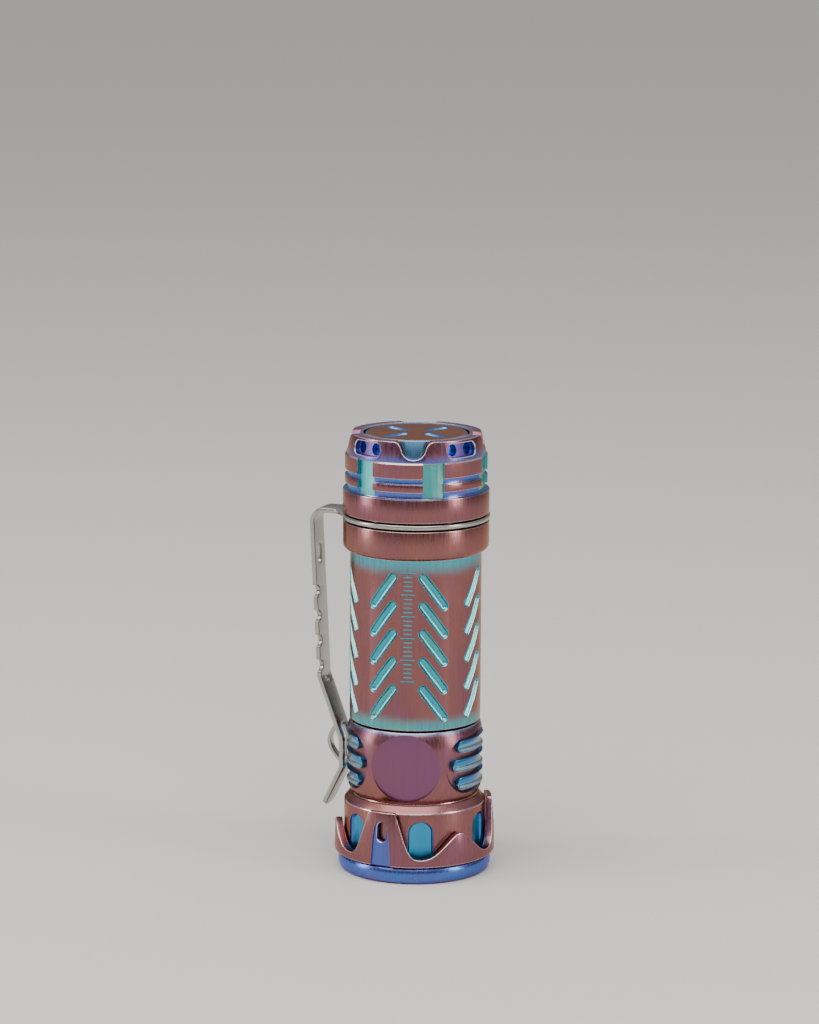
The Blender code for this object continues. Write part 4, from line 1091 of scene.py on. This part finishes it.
def make_cap_crown(skin, edge, rim, dark, rib, lip):
    reach = math.radians(180.0 / NOTCH_COUNT) * CROWN_RADIUS
    depth = CROWN_RADIUS - CROWN_WALL_RADIUS - 0.03
    beyond, beyond_height = NOTCH_EDGE[1]
    half = [(reach + beyond, beyond_height)] + [(reach - across, height) for across, height in NOTCH_EDGE]
    outline = [(-reach - beyond, CROWN_FOOT - 0.25), (reach + beyond, CROWN_FOOT - 0.25)] + half
    outline += [(-across, height) for across, height in reversed(half)]
    repeat = plate("cap_crown_repeat", outline, depth)
    paint_faces(repeat, (skin, edge, rim), lambda face: 2 * int(
        face.normal.z > 0.9 and face.center.z > (CROWN_TOP - 0.1) * MM))
    soften(repeat, 0.12, 3, 35.0, 1)
    mill(repeat, make_window_tool(rib, lip, dark))
    eyes = []
    for side in (-1, 1):
        eye = rod(EYE_RADIUS, 1.4, 32, dark)
        shift(eye, side * EYE_OFFSET, 1.3, WINDOW_MIDDLE)
        eyes.append(eye)
    mill(repeat, joined(eyes, "eye_tools"))
    trim_sides(repeat, reach)
    lean_in(repeat, CROWN_FOOT, CROWN_TOP, CROWN_LEAN, depth)
    return ring_of(repeat, NOTCH_COUNT, CROWN_RADIUS, NOTCH_TURN + 180.0 / NOTCH_COUNT, "cap_crown")


def make_tail_cap():
    skin = heat_metal("mauve_cap", 0.29, roughness=0.27)
    # Ledge and bevels: a straw edge tint made pale, partly the edge's own colour and partly a painted
    # highlight.
    edge = heat_metal("cap_bevel_tint_and_highlight", 0.16, spread=0.09, streaks=0.1, lift=0.35, roughness=0.2)
    groove = heat_metal("violet_groove", 0.62, spread=0.12, streaks=0.3, roughness=0.25,
                        edge=(0.8, 0.85, 1.0))
    wall = heat_metal("azure_wall", 0.72, spread=0.04, streaks=0.2, lift=0.10, roughness=0.25,
                      edge=(0.7, 0.9, 1.0))
    pale = heat_metal("pale_teal_flute", 0.93, spread=0.14, streaks=0.4, roughness=0.33)
    rim = heat_metal("violet_rim", 0.56, spread=0.08, streaks=0.3, lift=0.1, roughness=0.28)
    crown_skin = heat_metal("mauve_cap_crown", 0.32, roughness=0.27, fades=((69.7, 71.2, 0.60, 0.8),))
    dark = heat_metal("deep_blue_eye", 0.60, spread=0.05, streaks=0.2, roughness=0.3)
    # Window chamfer: a violet tint lifted pale as a painted highlight.
    lip = heat_metal("window_chamfer_tint_and_highlight", 0.56, spread=0.05, streaks=0.1, lift=0.55, roughness=0.22)
    rib = heat_metal("violet_rib", 0.50, spread=0.05, streaks=0.2, roughness=0.38)
    body = make_cap_body(skin, edge, groove, wall, pale)
    crown = make_cap_crown(crown_skin, edge, rim, dark, rib, lip)
    cap = joined([body, crown], "finned_cap")
    seat(cap, "tail_cap", "tail_cap")


make_tail_cap()

# ---- Tail disc ----
# A turned disc is pressed into the tail cap's crown. Four short slots in it make an X and can hold glow
# vials.
DISC_RADIUS = 8.4
DISC_FOOT = 71.55
DISC_TOP = 72.95
VIAL_COUNT = 4
VIAL_MIDDLE = 4.4
VIAL_LENGTH = 4.8
VIAL_WIDTH = 1.5


def make_disc():
    brown = heat_metal("brown_disc", 0.18, spread=0.05, streaks=0.3, roughness=0.33)
    # Disc rim: a blue tint lifted pale, partly the rim's own colour and partly a painted highlight.
    rim = heat_metal("disc_rim_tint_and_highlight", 0.68, spread=0.04, streaks=0.2, lift=0.4, roughness=0.24)
    cyan = heat_metal("azure_vial_slot", 0.70, spread=0.08, streaks=0.2, roughness=0.28)
    outline = [(DISC_RADIUS, DISC_FOOT), (DISC_RADIUS, DISC_TOP - 0.2), (DISC_RADIUS - 0.2, DISC_TOP)]
    disc = turn_profile("slotted_disc", outline, solid=True)
    paint_faces(disc, (brown, rim), lambda face: int(
        math.hypot(face.center.x, face.center.y) > (DISC_RADIUS - 0.25) * MM))
    layers = [(0.08, 0.10), (0.12, 0.35), (0.12, 0.20), (0.2, 0.12)]
    vials = []
    for count in range(VIAL_COUNT):
        vial = slug("vial", VIAL_LENGTH, VIAL_WIDTH, 1.0, layers)
        spin(vial, 90, "X")
        shift(vial, VIAL_MIDDLE, 0, DISC_TOP + 0.98)
        spin(vial, NOTCH_TURN - 45.0 + 360.0 / VIAL_COUNT * count)
        give(vial, cyan)
        vials.append(vial)
    mill(disc, joined(vials, "vial_tools"))
    seat(disc, "tail_cap", "tail_disc")


make_disc()

# ---- Contact plate, spring and lock ring ----
# The cell's spring stands on a brass plate that a slotted lock ring holds in the cap.
coat("tail_contact_plate", brass)
coat("tail_lock_ring", brass)
coat("tail_spring", plain_finish("spring_plate", (0.62, 0.56, 0.42), 0.28, 1.0, 0.05))

# ---- Pocket clip ----
# One strip of bare spring steel. Its ring turns in the tube's groove; the arm drops beside the tube, leans in
# to touch the head, and kicks out at the tip. A narrow strip is lanced out of the arm and bowed outwards.
STEEL_THICKNESS = 0.8
STEEL_CLEARANCE = 0.02
CLIP_BORE = 10.7
CLIP_BAND_RADIUS = 12.15
CLIP_HEIGHT = 59.25
ARM_WIDTH = 4.5
ARM_CORNERS = [(11.4, CLIP_HEIGHT), (17.6, CLIP_HEIGHT), (16.15, 31.15), (12.25, 20.65), (12.25, 16.05),
               (15.6, 9.05)]
ARM_BENDS = (1.9, 2.4, 2.4, 1.2)
ARM_HOLES = ((51.6, 3.2, 1.5, -0.2), (30.3, 1.1, 1.0, 0.0))     # height, length, width, off the middle
EDGE_NOTCHES = (45.6, 41.4, 37.2, 33.0)
BRIDGE_TOP = 23.35
BRIDGE_FOOT = 16.05
BRIDGE_RISE = 2.2
BRIDGE_STEPS = 24
BRIDGE_WIDTH = 1.44
BRIDGE_GAP = 1.8
BRIDGE_THICKNESS = 0.6
TOOL_DEPTH = 4.0


def rounded_path(corners, bends, steps=10):
    """Points along straight runs whose corners are replaced by arcs."""
    path = [Vector(corners[0])]
    for before, corner, after, radius in zip(corners, corners[1:], corners[2:], bends):
        corner = Vector(corner)
        back = (Vector(before) - corner).normalized()
        ahead = (Vector(after) - corner).normalized()
        half = back.angle(ahead) / 2
        centre = corner + (back + ahead).normalized() * (radius / math.sin(half))
        start = corner + back * (radius / math.tan(half)) - centre
        turn = start.angle_signed(corner + ahead * (radius / math.tan(half)) - centre)
        for step in range(steps + 1):
            path.append(centre + Matrix.Rotation(-turn * step / steps, 2) @ start)
    path.append(Vector(corners[-1]))
    return path


def lengths_along(path):
    reached = [0.0]
    for before, after in zip(path, path[1:]):
        reached.append(reached[-1] + (after - before).length)
    return reached


def length_at(path, height):
    """How far along the path it first comes down to a height."""
    reached = lengths_along(path)
    for place in range(1, len(path)):
        high, low = path[place - 1].y, path[place].y
        if low < height <= high:
            return reached[place - 1] + (high - height) / (high - low) * (reached[place] - reached[place - 1])
    return reached[-1]


def bend_along(piece, path):
    """Bends a flat piece along a path of (distance from the axis, height) on the -X side: Z runs along it."""
    reached = lengths_along(path)
    slopes = []
    for place in range(len(path)):
        before, after = path[max(place - 1, 0)], path[min(place + 1, len(path) - 1)]
        slopes.append((after - before).normalized())
    for corner in piece.data.vertices:
        along = min(max(corner.co.z / MM, 0.0), reached[-1])
        place = next(count for count in range(1, len(path)) if along <= reached[count] + 1e-9)
        share = (along - reached[place - 1]) / (reached[place] - reached[place - 1])
        spot = path[place - 1].lerp(path[place], share)
        slope = slopes[place - 1].lerp(slopes[place], share).normalized()
        out = Vector((-slope.y, slope.x)) * (-corner.co.y / MM)
        corner.co = (-(spot.x + out.x) * MM, corner.co.x, (spot.y + out.y) * MM)


def slice_rows(piece, height):
    """Cuts a flat piece into level rows, so that it can be bent along a path."""
    wake(piece)
    places = [corner.co.z for corner in piece.data.vertices]
    first = math.ceil(min(places) / (height * MM) + 0.02)
    last = math.floor(max(places) / (height * MM))
    bpy.ops.object.mode_set(mode="EDIT")
    for line in range(first, last + 1):
        bpy.ops.mesh.select_all(action="SELECT")
        bpy.ops.mesh.bisect(plane_co=(0, 0, line * height * MM), plane_no=(0, 0, 1))
    bpy.ops.object.mode_set(mode="OBJECT")


def make_arm_tools(path, steel):
    """The notches in one edge of the strip, its two holes, and the gap that the bridge is lanced from."""
    plain = [(0.02, 0.0)]
    tools = []
    for height in EDGE_NOTCHES:
        notch = slug("edge_notch", 2.6, 1.9, TOOL_DEPTH, plain, 10)
        shift(notch, -ARM_WIDTH / 2, TOOL_DEPTH / 2, length_at(path, height))
        tools.append(notch)
    for height, length, width, across in ARM_HOLES:
        hole = slug("arm_hole", length, width, TOOL_DEPTH, plain, 10)
        spin(hole, 90, "Y")
        shift(hole, across, TOOL_DEPTH / 2, length_at(path, height))
        tools.append(hole)
    low, high = length_at(path, BRIDGE_TOP - 0.4), length_at(path, BRIDGE_FOOT + 0.45)
    gap = slug("lanced_gap", high - low, BRIDGE_GAP, TOOL_DEPTH, plain, 8)
    spin(gap, 90, "Y")
    shift(gap, 0, TOOL_DEPTH / 2, (low + high) / 2)
    tools = joined(tools + [gap], "arm_tools")
    give(tools, steel)
    return tools


def make_strip(path, steel):
    """The flat strip, wide where it leaves the ring and round at the tip, bent along the path."""
    total = lengths_along(path)[-1]
    half = ARM_WIDTH / 2
    side = [(half + 2.0, 0.0), (half + 0.7, 1.0), (half + 0.15, 1.9), (half, 2.8), (half, total - 1.6),
            (half - 0.45, total - 0.45), (half - 1.6, total)]
    outline = [(-half - 2.0, 0.0)] + side + [(-across, along) for across, along in reversed(side[1:])]
    thickness = STEEL_THICKNESS - STEEL_CLEARANCE
    strip = plate("clip_strip", outline, thickness)
    shift(strip, 0, -thickness / 2, 0)
    give(strip, steel)
    mill(strip, make_arm_tools(path, steel))
    soften(strip, 0.16, 3, 40.0)
    slice_rows(strip, 0.35)
    bend_along(strip, path)
    return strip


def make_bridge(path, steel):
    """The narrow strip that is lanced out of the arm and bowed outwards."""
    length = length_at(path, BRIDGE_FOOT + 0.05) - length_at(path, BRIDGE_TOP) + 1.0
    half = BRIDGE_WIDTH / 2
    outline = [(-half, 0.0), (half, 0.0), (half, length), (-half, length)]
    bridge = plate("lanced_strip", outline, BRIDGE_THICKNESS)
    shift(bridge, 0, -BRIDGE_THICKNESS / 2, 0)
    soften(bridge, 0.12, 2, 40.0)
    slice_rows(bridge, 0.3)
    root, foot = Vector((13.25, BRIDGE_TOP)), Vector((12.3, BRIDGE_FOOT))
    bow = []
    for step in range(BRIDGE_STEPS + 1):
        share = step / BRIDGE_STEPS
        bow.append(root.lerp(foot, share) + Vector((BRIDGE_RISE * math.sin(math.pi * share), 0)))
    stretch = lengths_along(bow)[-1] / length
    for corner in bridge.data.vertices:
        corner.co.z *= stretch
    bend_along(bridge, bow)
    give(bridge, steel)
    return bridge


def make_clip():
    steel = plain_finish("satin_spring_steel", (0.40, 0.38, 0.35), 0.22, 1.0, 0.06, 1500.0)
    low, high = CLIP_HEIGHT - STEEL_THICKNESS / 2, CLIP_HEIGHT + STEEL_THICKNESS / 2
    ring = turn_profile("clip_band", [(CLIP_BORE, low), (CLIP_BAND_RADIUS, low), (CLIP_BAND_RADIUS, high),
                                      (CLIP_BORE, high)])
    soften(ring, 0.24, 4, 40.0)
    give(ring, steel)
    path = rounded_path(ARM_CORNERS, ARM_BENDS)
    clip = joined([ring, make_strip(path, steel), make_bridge(path, steel)], "sprung_clip")
    smooth(clip, 40.0)
    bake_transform(clip)
    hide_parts("clip_ring", "clip_arm")


make_clip()
